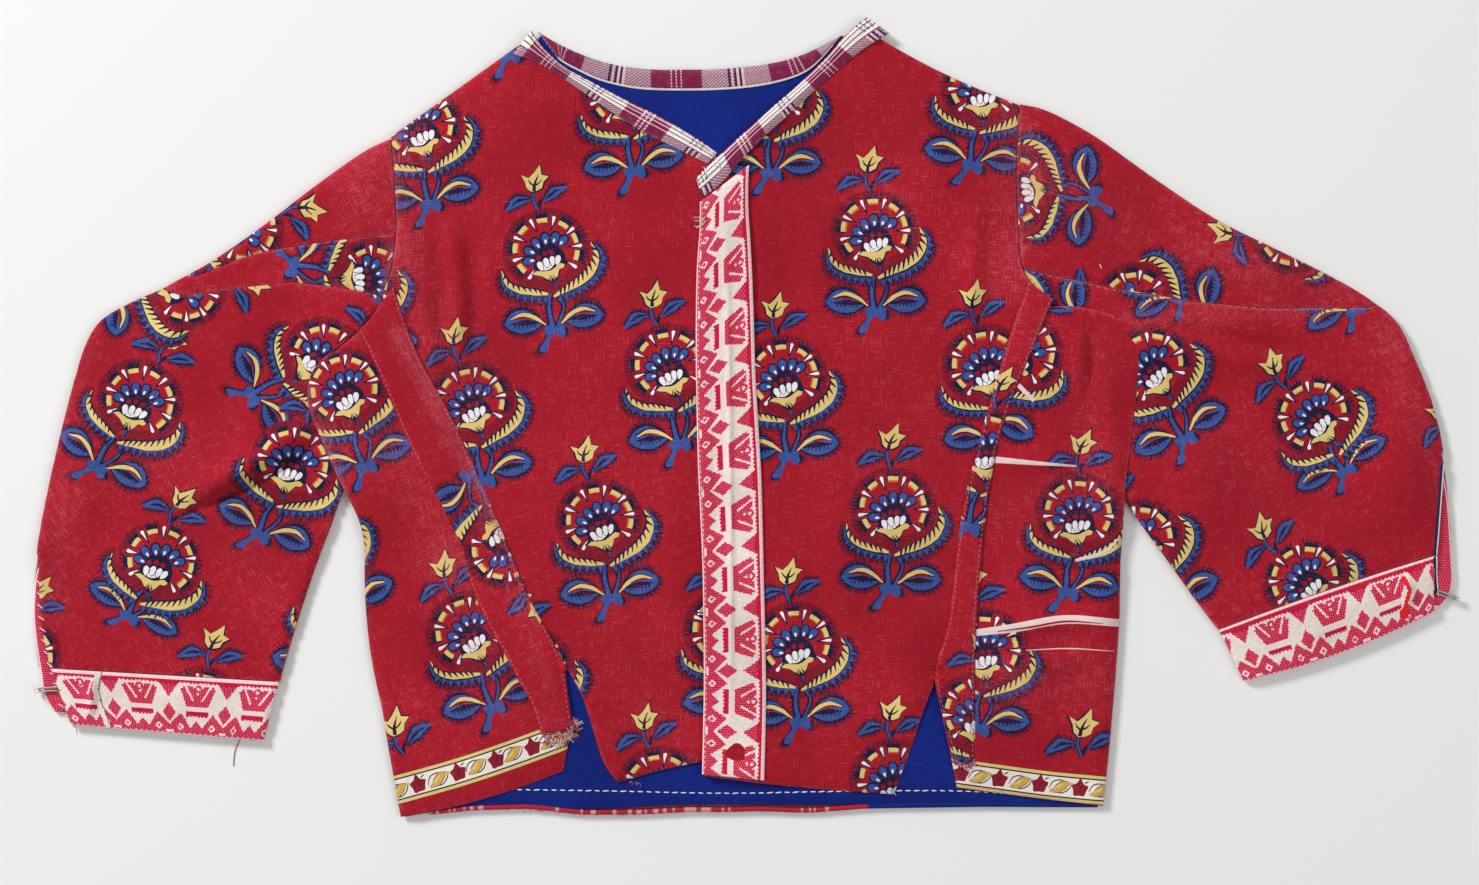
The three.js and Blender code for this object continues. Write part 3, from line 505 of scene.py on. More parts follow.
def sprig(rng, fringed=True, short=False, budded=True):
    """One printed flower, upright, with its blossom's middle at zero: painted shapes from the back to the front."""
    shapes = []
    paint = lambda colour, *outlines: shapes.extend((colour, outline) for outline in outlines)

    def fringe(points, length=2.2, spacing=1.8, lean=0.25):
        if fringed:
            paint(NAVY, *teeth(points, length, spacing, 0.75, lean=lean, rng=rng, tip=0.3))

    # foot and stems
    foot = (0, -4.1) + 0.88 * closed([(-1.6, -31.0), (-4.6, -31.8), (-5.4, -33.6), (-4.0, -35.4), (-5.0, -37.6), (-7.8, -41.0),
                   (-8.4, -43.0), (-6.4, -43.6), (-4.6, -42.6), (-3.6, -39.6), (-1.6, -36.6), (0.6, -35.2),
                   (1.4, -36.8), (3.4, -37.4), (5.0, -36.0), (4.6, -33.8), (5.0, -32.4), (3.4, -31.0), (0.8, -31.8)])
    middle = foot.mean(0)
    if fringed:
        t = np.linspace(0, 2 * np.pi, 26, endpoint=False)
        ring = np.column_stack([18.6 * np.cos(t), 17.4 * np.sin(t)])
        crescents = stroke([(-20.6, -6.0), (-18.6, -14.6), (-8, -18.6), (1, -19.6), (15, -16), (22.4, -6), (20.6, 2)],
                           [3.0, 9.0, 8.0, 8.0, 9.6, 9.0, 3.0], 4)
        paint(SHADED_RED, ring, crescents, middle + (foot - middle) * (1.5, 1.35))
        paint(RED, ring * 0.72)
    paint(NAVY, middle + (foot - middle) * (1.22, 1.13))
    left_stem, right_stem = [(-0.6, -18.6), (-1.6, -24), (-1.0, -31.8)], [(3.0, -19), (4.7, -24), (1.4, -32.2)]
    paint(NAVY, stroke(left_stem, [3.0, 3.2, 3.4]), stroke(right_stem, [2.2, 2.4, 2.8]))
    fringe([(-2.2, -19.6), (-3.2, -24.5), (-2.8, -30)], -1.5, 2.0)
    paint(BLUE, foot, stroke(left_stem, [1.1, 1.4, 1.9]), stroke(right_stem, [0.5, 0.7, 1.1]))

    # two leaves at the foot
    for side in (-1, 1):
        mirror = np.array([side, 1.0])
        lower = [(4.4, -30.4), (9.0, -33.2), (14.5, -33.6), (19.0, -31.6), (21.0, -29.4)]
        upper = [(4.4, -30.4), (8.0, -26.2), (13.2, -23.9), (18.2, -25.4), (21.0, -29.4)]
        leaf = np.vstack([through(lower, 2.2), through(upper, 2.2)[::-1][1:-1]])
        hull = leaf.mean(0) + (leaf - leaf.mean(0)) * (1.09, 1.22)
        if fringed:
            paint(SHADED_RED, (leaf.mean(0) + (leaf - leaf.mean(0)) * (1.22, 1.55)) * mirror)
        paint(NAVY, hull * mirror)
        paint(BLUE, leaf * mirror)
        paint(NAVY, stroke([(5.4, -30.3), (10.5, -29.6), (18.2, -29.6)], [0.4, 2.6, 0.3], 4) * mirror)
        paint(DARK_RED, stroke([(5.6, -29.8), (10.5, -27.5), (17.6, -28.0)], [0.4, 1.5, 0.3], 4) * mirror)
        paint(NAVY, stroke([(3.0, -31.6), (8.4, -27.4), (13.0, -26.1), (18.0, -27.6)], [0.9, 2.2, 2.1, 0.9], 3) * mirror)
        paint(YELLOW, stroke([(3.2, -31.4), (8.4, -27.4), (13.0, -26.1), (17.8, -27.7)], [0.5, 1.6, 1.6, 0.4], 3) * mirror)
        if fringed:
            ticks = teeth([(8.0, -30.2), (12.0, -30.4), (17.6, -30.0)], -1.6, 1.6, 0.7, lean=-0.4, tip=0.25)
            paint(NAVY, *[tick * mirror for tick in ticks])
            rise, fall = np.array(upper) + (0.3, 0.8), np.array(lower) + (0.3, -0.7)
            hairs = teeth(rise[1:], 2.0, 2.0, 0.75, lean=0.5, rng=rng, tip=0.3)
            hairs += teeth(fall[1:], -2.0, 2.0, 0.75, lean=0.3, rng=rng, tip=0.3)
            paint(NAVY, *[hair * mirror for hair in hairs])

    if short:
        shapes = [(colour, outline * (1, 0.8)) for colour, outline in shapes]

    # crescents that cup the blossom
    for yellow, widths, outer, sign in (
        ([(-19.4, -7.0), (-18.0, -12.0), (-13.6, -15.4), (-8.0, -17.0), (-1.2, -18.6)], [0.3, 1.9, 2.6, 2.6, 1.0],
         [(-20.2, -8.6), (-19.2, -13.2), (-14.4, -17.2), (-8.2, -19.0), (-1.4, -20.0)], -1),
        ([(19.0, 1.0), (20.6, -4.2), (18.6, -9.6), (13.6, -14.0), (7.4, -16.9), (1.2, -19.9)],
         [0.3, 2.9, 4.0, 3.6, 2.6, 0.9],
         [(20.4, 0.6), (22.8, -4.6), (21.0, -11.0), (15.4, -16.0), (8.4, -18.9), (2.4, -20.8)], 1),
    ):
        fringe([tuple(np.array(p) * (1.06, 1.06)) for p in outer], sign * 2.4, 1.9)
        paint(NAVY, stroke(outer, [1.6] + [3.8] * (len(outer) - 2) + [1.6], 5))
        paint(BLUE, stroke(outer, [0.4] + [2.2] * (len(outer) - 2) + [0.8], 5))
        for length, base, colour in ((3.7, 3.1, NAVY), (2.7, 2.0, BLUE)):
            scallops = teeth(outer[1:], sign * length, 2.9, base, lean=0)
            paint(colour, *scallops)
        paint(NAVY, stroke(yellow, [w + 0.9 for w in widths], 5))
        paint(YELLOW, stroke(yellow, widths, 5))
        edge = through(yellow, 1.0)
        share = np.interp(np.linspace(0, 1, len(edge)), np.linspace(0, 1, len(widths)), widths)
        run = np.gradient(edge, axis=0)
        aside = np.column_stack([-run[:, 1], run[:, 0]]) / np.linalg.norm(run, axis=1)[:, None]
        lip = edge - aside * (share[:, None] * 0.5 + 0.45) * sign
        paint(NAVY, *teeth(lip[1:-2], sign * float(np.mean(widths)) * 1.2, 2.3, 1.7, lean=0.8, tip=0.35))

    # ring of dashes with ticks between them
    for angle in (92, 51, 17, -17, 133, 171, 213):
        half = 10.5
        paint(NAVY, arc_band(13.6, 15.9, angle - half, angle + half))
        paint(NAVY, arc_band(11.7, 14.0, angle + half - 3, angle + half + 0.8))
        paint(ORANGE, arc_band(11.8, 12.6, angle - half + 1, angle + half - 1))
        paint(YELLOW, arc_band(12.3, 14.1, angle - half + 1, angle + half - 1))
        fringe([(15.6 * math.cos(math.radians(a)), 14.8 * math.sin(math.radians(a)))
                for a in (angle + half + 4, angle, angle - half - 4)], 2.3, 1.5, 0.1)
    for angle in (72, 112, 152, 193, 234, 34, 1, -38):
        a = math.radians(angle)
        paint(NAVY, stroke([(14.6 * math.cos(a), 13.9 * math.sin(a)), (11.5 * math.cos(a), 10.9 * math.sin(a)),
                            (8.6 * math.cos(a), 8.2 * math.sin(a))], [2.0, 1.5, 0.5], 2))
        paint(WHITE, wedge(12.6 * math.cos(a), 12.0 * math.sin(a), 4.6, 1.5, angle))

    # drops, dots, the white heart and its cup
    paint(NAVY, drop(0.4, -3.4, 13.4, 13.6, 100, 16))
    blobs = ((178, 8.0), (150, 8.5), (121, 8.3), (93, 8.8), (68, 9.4), (47, 9.9))
    for angle, reach in blobs:
        a = math.radians(angle)
        x, y = 0.3 + reach * math.cos(a), -4.2 + reach * math.sin(a)
        paint(NAVY, drop(x, y, 6.4, 4.5, angle + 180, 11))
    for angle, reach in blobs:
        a = math.radians(angle)
        x, y = 0.3 + reach * math.cos(a), -4.2 + reach * math.sin(a)
        paint(BLUE, drop(x, y, 5.1, 3.0, angle + 180, 11))
        paint(WHITE, drop(x - 1.2 * math.cos(a), y - 1.2 * math.sin(a), 1.9, 0.95, angle + 180, 7))
    for x, y in ((-3.6, -3.2), (-0.9, -1.6), (1.9, -1.4)):
        paint(DARK_RED, drop(x, y, 2.3, 2.2, 0, 8))
    paint(WHITE, drop(-0.3, -6.4, 6.6, 4.0, 10, 12))
    for x, y, angle in ((-3.3, -6.7, 112), (-0.7, -5.5, 100), (1.9, -5.0, 90), (4.2, -4.8, 74)):
        paint(NAVY, drop(x, y, 4.9, 2.9, angle + 180, 10))
        paint(WHITE, drop(x, y, 4.3, 2.3, angle + 180, 10))
    cup = closed([(-6.8, -9.8), (-5.0, -8.6), (-2.2, -8.9), (0.8, -8.9), (3.2, -7.6), (5.4, -6.2), (7.2, -6.8),
                  (6.6, -8.2), (4.6, -8.8), (3.8, -11.0), (2.0, -13.4), (-0.8, -12.4), (-3.2, -10.8)], 1.6)
    paint(NAVY, cup.mean(0) + (cup - cup.mean(0)) * (1.12, 1.26))
    paint(YELLOW, cup)
    paint(NAVY, *teeth([(-0.6, -13.4), (1.5, -13.6), (3.4, -12.4)], 2.9, 1.1, 0.8, lean=0.0))
    paint(NAVY, stroke([(1.4, -12.8), (2.4, -16.8)], [1.7, 1.2], 3))
    paint(BLUE, stroke([(1.9, -14.2), (2.3, -16.4)], [0.8, 0.5], 2))
    if not budded:
        return shapes
    # the bud leans to the left, and on a short stem more so
    shift = (-4.6, 0.6) if short else (-2.0, 2.4)
    return shapes + [(colour, outline * 0.9 + shift) for colour, outline in bud(rng, fringed)]


def bud(rng, fringed=True):
    """The yellow bud with its two small leaves, above the blossom."""
    shapes = []
    paint = lambda colour, *outlines: shapes.extend((colour, outline) for outline in outlines)
    stem = [(0.2, 16.4), (-1.4, 20.6), (-1.2, 25.2)]
    paint(NAVY, stroke(stem, [2.0, 2.0, 1.6]))
    paint(NAVY, stroke([(0.2, 16.4), (1.8, 20.0), (4.4, 22.0)], [1.8, 1.8, 1.8]))
    for base, tip, bow in (((-2.4, 21.6), (-14.8, 17.4), 3.8), ((3.0, 19.8), (14.6, 25.4), 2.6)):
        middle = ((base[0] + tip[0]) / 2, (base[1] + tip[1]) / 2 + bow * 0.5)
        if fringed:
            paint(SHADED_RED, stroke([base, middle, tip], [3.0, 8.6, 4.6], 5))
        paint(NAVY, stroke([base, middle, tip], [1.4, 6.4, 2.6], 6))
        if fringed:
            line = [base, (middle[0], middle[1] + 2.8), tip]
            under = [base, (middle[0], middle[1] - 2.6), tip]
            side = 1 if tip[0] > 0 else -1
            paint(NAVY, *teeth(line, side * 2.1, 1.9, 0.75, lean=0.5, rng=rng, tip=0.3),
                  *teeth(under, -side * 2.1, 1.9, 0.75, lean=0.5, rng=rng, tip=0.3))
        paint(BLUE, stroke([base, middle, tip], [0.7, 5.0, 1.2], 6))
        paint(NAVY, stroke([base, middle, ((middle[0] + tip[0]) / 2, (middle[1] + tip[1]) / 2)], [0.3, 1.4, 0.5], 4))
    paint(BLUE, stroke(stem, [1.0, 1.0, 0.7]))
    petals = np.array([(-1.8, 24.9), (-3.8, 26.8), (-4.3, 30.0), (-5.9, 33.2), (-2.3, 31.3), (0.4, 33.6),
                       (3.4, 37.0), (3.7, 32.2), (7.0, 31.2), (4.4, 29.0), (3.4, 26.2), (0.8, 25.0)])
    paint(NAVY, petals.mean(0) + (petals - petals.mean(0)) * 1.14)
    paint(YELLOW, petals)
    paint(NAVY, stroke([(-0.8, 25.0), (-0.2, 28.2), (2.0, 32.4)], [1.8, 1.1, 0.3], 3),
          stroke([(-0.4, 27.4), (-2.0, 28.8), (-2.9, 30.6)], [1.0, 0.8, 0.3], 2),
          stroke([(0.0, 27.8), (1.6, 28.4), (3.4, 30.0)], [0.9, 0.7, 0.3], 2))
    return shapes


def printed(rows, outline, seed, scale=1.0, fringed=True):
    """Sprigs set on a piece: rows of (x, y, turn, which part), each a little different, as prints are."""
    rng = np.random.default_rng(seed)
    low, high = outline.min(0) - 3, outline.max(0) + 3
    result = []
    for x, y, turn, part in rows:
        if not (low[0] - 44 < x < high[0] + 44 and low[1] - 44 < y < high[1] + 44):
            continue
        a = math.radians(turn)
        matrix = np.array([[math.cos(a), math.sin(a)], [-math.sin(a), math.cos(a)]]) * scale
        slip = {id(YELLOW): rng.uniform(-0.35, 0.35, 2), id(BLUE): rng.uniform(-0.2, 0.2, 2)}
        drawn = bud(rng, fringed) if part == "bud" else sprig(rng, fringed, part == "short", part != "budless")
        for colour, shape in drawn:
            points = (np.asarray(shape) + slip.get(id(colour), 0)) @ matrix + (x, y)
            points = points + rng.normal(0, 0.05, points.shape)
            if (points.max(0) > low).all() and (points.min(0) < high).all():
                result.append((colour, points))
    return result


def add(tree, kind, inputs=None, **settings):
    """Adds a node with its settings; an input is a value or another node's socket."""
    made = tree.nodes.new(kind)
    for key, value in settings.items():
        setattr(made, key, value)
    for key, value in (inputs or {}).items():
        if isinstance(value, bpy.types.NodeSocket):
            tree.links.new(value, made.inputs[key])
        else:
            made.inputs[key].default_value = value
    return made


def cotton(name, *, thread, slub, pale, faded, threads_shown, rough=0.9, sheen=0.05, bump=0.3):
    """Plain-weave cotton: its colour is the piece's own print, its threads follow the piece's grain."""
    material = bpy.data.materials.new(name)
    material.use_nodes = True
    tree = material.node_tree
    tree.nodes.clear()
    colour = add(tree, "ShaderNodeAttribute", attribute_name="print").outputs["Color"]
    worn = add(tree, "ShaderNodeAttribute", attribute_name="worn").outputs["Fac"]
    grain = add(tree, "ShaderNodeUVMap", uv_map="grain").outputs["UV"]
    runs = []
    for across, along in ((1, 0), (0, 1)):
        scale = [0.0, 0.0, 0.0]
        scale[across], scale[along] = 1000 / thread, 1000 / slub
        place = add(tree, "ShaderNodeMapping", {"Vector": grain, "Scale": scale, "Location": (7.3 * across, 3.1, 0)})
        runs.append(add(tree, "ShaderNodeTexNoise", {"Vector": place.outputs[0], "Scale": 1.0, "Detail": 1.0},
                        noise_dimensions="2D").outputs["Fac"])
    threads = add(tree, "ShaderNodeMath", {0: runs[0], 1: runs[1]}, operation="MAXIMUM").outputs[0]
    cloud = add(tree, "ShaderNodeTexNoise", {"Vector": grain, "Scale": 22.0, "Detail": 3.0},
                noise_dimensions="2D").outputs["Fac"]
    # pale broken threads, thick where the cloth is worn
    lifted = add(tree, "ShaderNodeMath", {0: worn, 1: 0.30, 2: threads}, operation="MULTIPLY_ADD").outputs[0]
    clouded = add(tree, "ShaderNodeMath", {0: cloud, 1: 0.22, 2: lifted}, operation="MULTIPLY_ADD").outputs[0]
    broken = add(tree, "ShaderNodeMapRange", {"Value": clouded, "From Min": 0.77, "From Max": 1.04,
                                              "To Max": threads_shown}).outputs[0]
    soft = add(tree, "ShaderNodeMath", {0: worn, 1: 0.2}, operation="MULTIPLY", use_clamp=True).outputs[0]
    washed = add(tree, "ShaderNodeMix", {"Factor": soft, 6: colour, 7: faded}, data_type="RGBA").outputs[2]
    threaded = add(tree, "ShaderNodeMix", {"Factor": broken, 6: washed, 7: pale}, data_type="RGBA").outputs[2]
    light = add(tree, "ShaderNodeMapRange", {"Value": cloud, "From Min": 0.3, "From Max": 0.7,
                                             "To Min": 0.88, "To Max": 1.08}).outputs[0]
    shade = add(tree, "ShaderNodeMapRange", {"Value": threads, "From Min": 0.4, "From Max": 0.75,
                                             "To Min": 0.92, "To Max": 1.06}).outputs[0]
    tone = add(tree, "ShaderNodeMath", {0: light, 1: shade}, operation="MULTIPLY").outputs[0]
    final = add(tree, "ShaderNodeVectorMath", {0: threaded, "Scale": tone}, operation="SCALE").outputs[0]
    weave = add(tree, "ShaderNodeBump", {"Height": threads, "Strength": bump, "Distance": 0.0003}).outputs[0]
    crease = add(tree, "ShaderNodeTexNoise", {"Vector": grain, "Scale": 240.0, "Detail": 2.0},
                 noise_dimensions="2D").outputs["Fac"]
    soft_crease = add(tree, "ShaderNodeBump", {"Height": crease, "Strength": 0.35, "Distance": 0.0006,
                                               "Normal": weave}).outputs[0]
    cloth = add(tree, "ShaderNodeBsdfPrincipled", {
        "Base Color": final, "Roughness": rough, "Specular IOR Level": 0.14, "Sheen Weight": sheen,
        "Sheen Roughness": 0.5, "Normal": soft_crease})
    add(tree, "ShaderNodeOutputMaterial", {"Surface": cloth.outputs[0]})
    return material


# Printed cotton: plain weave, dyed red, dull and dry. Where it is worn, thick and thin threads (slubs) show as fine
# pale lines 0.5 mm apart, about their real spacing.
PRINTED_COTTON = cotton("Red printed cotton, plain weave, washed", thread=0.42, slub=5.5, pale=srgb("cf7682"),
                        faded=srgb("bb3a4c"), threads_shown=0.32)
WRONG_SIDE = srgb("8f3a42")


def lay(name, mesh, material, replaces):
    """Puts a sheet of cloth in its place, with its material, and hides the solids that it replaces."""
    piece = bpy.data.objects.new(name, mesh)
    bpy.context.scene.collection.objects.link(piece)
    piece.data.materials.append(material)
    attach(piece, "root")
    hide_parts(*replaces)
    return piece


def shell(node, sprigs, *, grain, seed, side=1, fringed=True, extra=(), **settings):
    """One cut piece of the printed cotton, lying on its solid's skin."""
    skin = skin_of(node, side)
    shapes = printed(sprigs, rounded(skin[2], 2.0), seed, fringed=fringed) + list(extra)
    return sheet_of_cloth(f"{node}_cloth", skin, shapes, grain=grain, plain=RED, wrong=WRONG_SIDE, **settings)


def eased(folds, broad, fine, seed):
    """How a piece lies: its own folds, and the soft unevenness of worn cloth."""
    return lambda x, y: (2.7 * folds_at(x, y, folds) + 2.4 * broad * unevenness(x, y, 40, seed)
                         + fine * unevenness(x, y, 12, seed + 50))


FRONTS = {
    "right": {
        "grain": 4,
        "sprigs": [(-82.9, 69.7, 6, ""), (-114.7, 6.1, 10, ""), (-32.1, 21.6, 9, ""), (-60.9, -43.3, 9, ""),
                   (-7.4, -89.5, 5, ""), (-35.5, -155.4, 9, ""), (-136.0, 122.0, 8, ""), (-50.6, 135.7, 8, ""),
                   (-89.9, -105.4, 6, ""), (-163.6, 55.9, 12, ""), (-103.0, 184.0, 8, "")],
        "folds": [(-132, 84, -126, 28, 3.2, -0.7, 2), (-117, 86, -112, 26, 3.0, -0.7, 1),
                  (-139, 60, -129, 10, 3.5, 0.8, 2), (-124, 88, -119, 20, 3.5, 0.8, 1),
                  (-60, 120, -24, 60, 12, 0.7, 4), (-30, 40, -34, -140, 9, 0.7, 3),
                  (-75, 20, -50, -110, 14, 0.6, -4), (-110, 140, -60, 110, 10, 0.5, 2)],
        "worn": [(-147, 116, -147, 70, 14, 0.35), (-140, 60, -120, 20, 16, 0.3), (-60, -60, -40, -130, 20, 0.12)],
    },
    "left": {
        "grain": 1,
        "sprigs": [(54.6, 77.3, 1, ""), (16.4, 16.6, 4, ""), (101.0, 21.4, 7, ""), (62.2, -38.9, -2, ""),
                   (21.6, -94.9, 3, ""), (62.0, -152.4, -3, ""), (100.2, 138.2, -8, ""), (11.3, 135.2, 0, "")],
        "folds": [(96, 96, 92, 30, 4, 0.8, 2), (86, 84, 84, 20, 3.5, -0.7, 1), (30, 100, 26, 30, 8, 0.7, 2),
                  (40, 30, 44, -90, 10, 0.7, -3), (70, -70, 66, -150, 9, 0.6, 2), (18, -40, 20, -150, 6, 0.6, 1),
                  (60, 130, 90, 90, 9, 0.5, 3)],
        "worn": [(112, 120, 114, 60, 14, 0.3), (66, 30, 74, -60, 16, 0.1), (40, 100, 60, 96, 20, 0.15)],
    },
}
for number, (side, front) in enumerate(FRONTS.items()):
    mesh, outline = shell(f"front_{side}", front["sprigs"], grain=front["grain"], seed=11 + number, least=3.0,
                          grow=0.25, worn_lines=front["worn"], ease=eased(front["folds"], 0.45, 0.16, 3 + number))
    lay(mesh.name, mesh, PRINTED_COTTON,
        [f"front_{side}"])


# ---- The side panels, with the printed border along their hems ----
# One panel a side from the underarm to the hem, cut so that the fabric's own border print runs along the hem. The
# left one still has the pale streaks where creases kept the cloth from taking the print.

CREAM = srgb("e6ddd2")
OCHRE = srgb("c9a24a")
BORDER_RED = srgb("86172a")


def between(line, near, far, start=0.0, stop=None):
    """A band beside a line, between two distances from it."""
    run = np.gradient(line, axis=0)
    aside = np.column_stack([-run[:, 1], run[:, 0]]) / np.linalg.norm(run, axis=1)[:, None]
    return np.vstack([line + aside * near, (line + aside * far)[::-1]])


def border_print(middle, flowers):
    """Border of flowers and curled leaves on a cream strip between yellow lines."""
    line = through(middle, 2.5)
    shapes = [(NAVY, between(line, -6.1, 6.1)), (YELLOW, between(line, -5.9, -4.6)), (YELLOW, between(line, 4.6, 5.9)),
              (CREAM, between(line, -4.0, 4.0))]
    ahead = line[-1] - line[0]
    turn = math.atan2(ahead[1], ahead[0])
    matrix = np.array([[math.cos(turn), math.sin(turn)], [-math.sin(turn), math.cos(turn)]])
    gap = np.linalg.norm(np.array(flowers[1]) - flowers[0])
    # a flower of four broad lobes and a pointed one, its base a little wider
    reaches = (4.4, 2.6, 3.7, 2.9, 3.9, 3.0, 3.6, 2.9, 3.8, 2.5)
    lobes = [(reach * math.cos(math.pi * (0.5 + k / 5)), reach * math.sin(math.pi * (0.5 + k / 5)))
             for k, reach in enumerate(reaches)]
    for x, y in flowers + [tuple(2 * np.array(flowers[-1]) - flowers[-2])]:
        place = lambda outline, back=gap / 2: (outline + (-back, 0)) @ matrix + (x, y)
        for run in ([(-4.8, -1.2), (-3.2, 1.9), (0.2, 2.7), (2.2, 1.8)], [(4.9, 1.9), (3.4, -1.0), (0.6, -2.7), (-1.6, -2.5)]):
            shapes.append((NAVY, place(stroke(run, [0.3, 0.5, 0.5, 0.3], 4))))
        leaf = [(-4.4, -2.3), (-2.0, -1.7), (1.5, 0.9), (4.3, 1.9)]
        shapes.append((NAVY, place(stroke(leaf, [0.4, 3.7, 3.9, 0.4], 5))))
        shapes.append((OCHRE, place(stroke(leaf, [0.2, 3.1, 3.3, 0.2], 5))))
        shapes.append((YELLOW, place(stroke([(-3.0, -1.3), (-1.2, -0.4), (1.2, 1.5)], [0.2, 1.3, 0.2], 4))))
        shapes.append((NAVY, place(stroke([(1.8, 2.4), (3.4, 3.3)], [0.5, 0.5], 3), 0)))
        shapes.append((BORDER_RED, place(closed(lobes, 0.9), 0)))
        shapes.append((NAVY, place(stroke([(-0.6, -1.8), (0.2, 0.2), (1.0, 1.6)], [0.2, 0.4, 0.2], 3), 0)))
    return shapes


UNPRINTED = srgb("ddc9c6")
streaks = [
    stroke([(103.6, -18.2), (120, -19.6), (138.8, -21)], [2.8, 1.7, 0.7]),
    stroke([(138.8, -60.4), (150.2, -56.9), (157.0, -51.0)], [1.2, 1.3, 0.8]),
    stroke([(94.0, -91.2), (110.7, -89), (133.8, -85.2), (157.6, -86.8)], [2.6, 3.8, 3.6, 3.2]),
    stroke([(114.5, 13.0), (121.2, 6.3)], [1.9, 1.6]),
    stroke([(117.8, -98.0), (136, -97.4), (154.8, -98.6)], [0.3, 0.5, 0.2]),
]
slit_print = stroke([(106, -90.2), (120, -88.2), (134, -86.0), (150, -86.9)], [0.4, 0.9, 0.9, 0.3])
PANELS = {
    "right": {
        "grain": 19,
        "sprigs": [(-167.8, 11.3, 16, ""), (-115.3, -90.3, 18, ""), (-179.5, -53.1, 28, ""), (-138.8, -157.6, 16, "bud")],
        "extra": border_print([(-147.4, -157.2), (-118.5, -149.0), (-96, -141.4), (-76.0, -134.0)],
                              [(-136.7, -154.4), (-119.9, -149.4), (-104.0, -144.1), (-88.8, -138.8)]),
        "folds": [(-167, 30, -163, -30, 9, 0.8, 3), (-176, -40, -160, -150, 10, 0.7, 3), (-130, 10, -112, -80, 12, 0.6, -3),
                  (-150, -60, -130, -150, 9, 0.6, 2)],
        "worn": [(-150, -10, -120, -60, 12, 0.3), (-182, 10, -160, -60, 4, 0.5), (-128, -60, -100, -120, 12, 0.15)],
    },
    "left": {
        "grain": -8,
        "sprigs": [(139.7, -40.6, -7, ""), (100.6, -97.4, -4, "budless"), (92.6, -97.0, -4, "bud"), (115.7, 26.9, -28, ""),
                   (140.5, -159.2, -2, "bud")],
        "extra": [(UNPRINTED, s) for s in streaks] + [(RED, slit_print)] + border_print(
            [(86, -149.2), (106.5, -152.0), (128, -154.9), (156, -157.6)],
            [(90.5, -149.9), (106.7, -152.1), (123.7, -154.4), (140.5, -156.2)]),
        "folds": [(146, 44, 144, 8, 3.0, -0.8, 0), (141, 40, 140, 6, 2.6, 0.9, 0), (150, 36, 154, -60, 6, 0.8, 2),
                  (126, -4, 120, -150, 11, 0.7, -4), (104, -18, 140, -21, 3.5, 0.9, 0),
                  (96, -90, 156, -86, 4, 0.9, 1), (150, -60, 152, -150, 8, 0.6, 1), (110, -104, 152, -100, 5, 0.6, -1)],
        "worn": [(110, -40, 150, -34, 12, 0.25), (104, -110, 150, -112, 14, 0.3), (150, 30, 140, -20, 10, 0.2)],
    },
}
for number, (side, panel) in enumerate(PANELS.items()):
    mesh, outline = shell(f"side_{side}", panel["sprigs"], grain=panel["grain"], seed=21 + number, least=3.0,
                          grow=0.2, extra=panel["extra"], worn_lines=panel["worn"],
                          ease=eased(panel["folds"], 0.45, 0.16, 13 + number))
    lay(mesh.name, mesh, PRINTED_COTTON,
        [f"side_{side}"])


# ---- The strips over the side-front seams ----
# A narrow shaped strip of the same print covers each side-front seam. Its long edges are turned under and
# topstitched; its lower end is raw and frayed.

STRIPS = {
    "right": {"grain": 24, "sprigs": [(-99.8, -55.0, 206, "")],
              "worn": [(-146, 36, -100, -50, 3.5, 0.5), (-140, 30, -90, -70, 9, 0.35), (-92, -80, -80, -130, 6, 0.25)]},
    "left": {"grain": -12, "sprigs": [(102.7, -13.9, -14, ""), (97.7, -124.3, -8, "")],
             "worn": [(128, 40, 104, -30, 5, 0.3), (98, -60, 92, -130, 5, 0.2)]},
}
for number, (side, strip) in enumerate(STRIPS.items()):
    mesh, outline = shell(f"side_band_{side}", strip["sprigs"], grain=strip["grain"], seed=31 + number, least=3.6,
                          grow=0.1, worn_lines=strip["worn"], edge_drop=0.7, edge_wear=0.3,
                          ease=eased([], 0.3, 0.22, 23 + number))
    lay(mesh.name, mesh, PRINTED_COTTON,
        [f"side_band_{side}"])


# ---- The sleeves ----
# Each sleeve is a tube pressed flat: its upper layer and its lower layer meet in a fold along both edges. The right
# sleeve is pieced from three cuts, the left one from two.


def lattice(outline, turn, seed):
    """The print's own rows over a whole piece: 82 mm apart and 111 mm apart, every other column half way down."""
    a = math.radians(turn)
    across, down = np.array([math.cos(a), math.sin(a)]) * 41, np.array([-math.sin(a), math.cos(a)]) * 111
    rng = np.random.default_rng(seed)
    start = outline.mean(0) + rng.uniform(-20, 20, 2)
    rows = []
    for i in range(-12, 13):
        for j in range(-6, 7):
            x, y = start + across * i + down * (j + 0.5 * (i % 2))
            rows.append((x, y, turn, ""))
    return rows


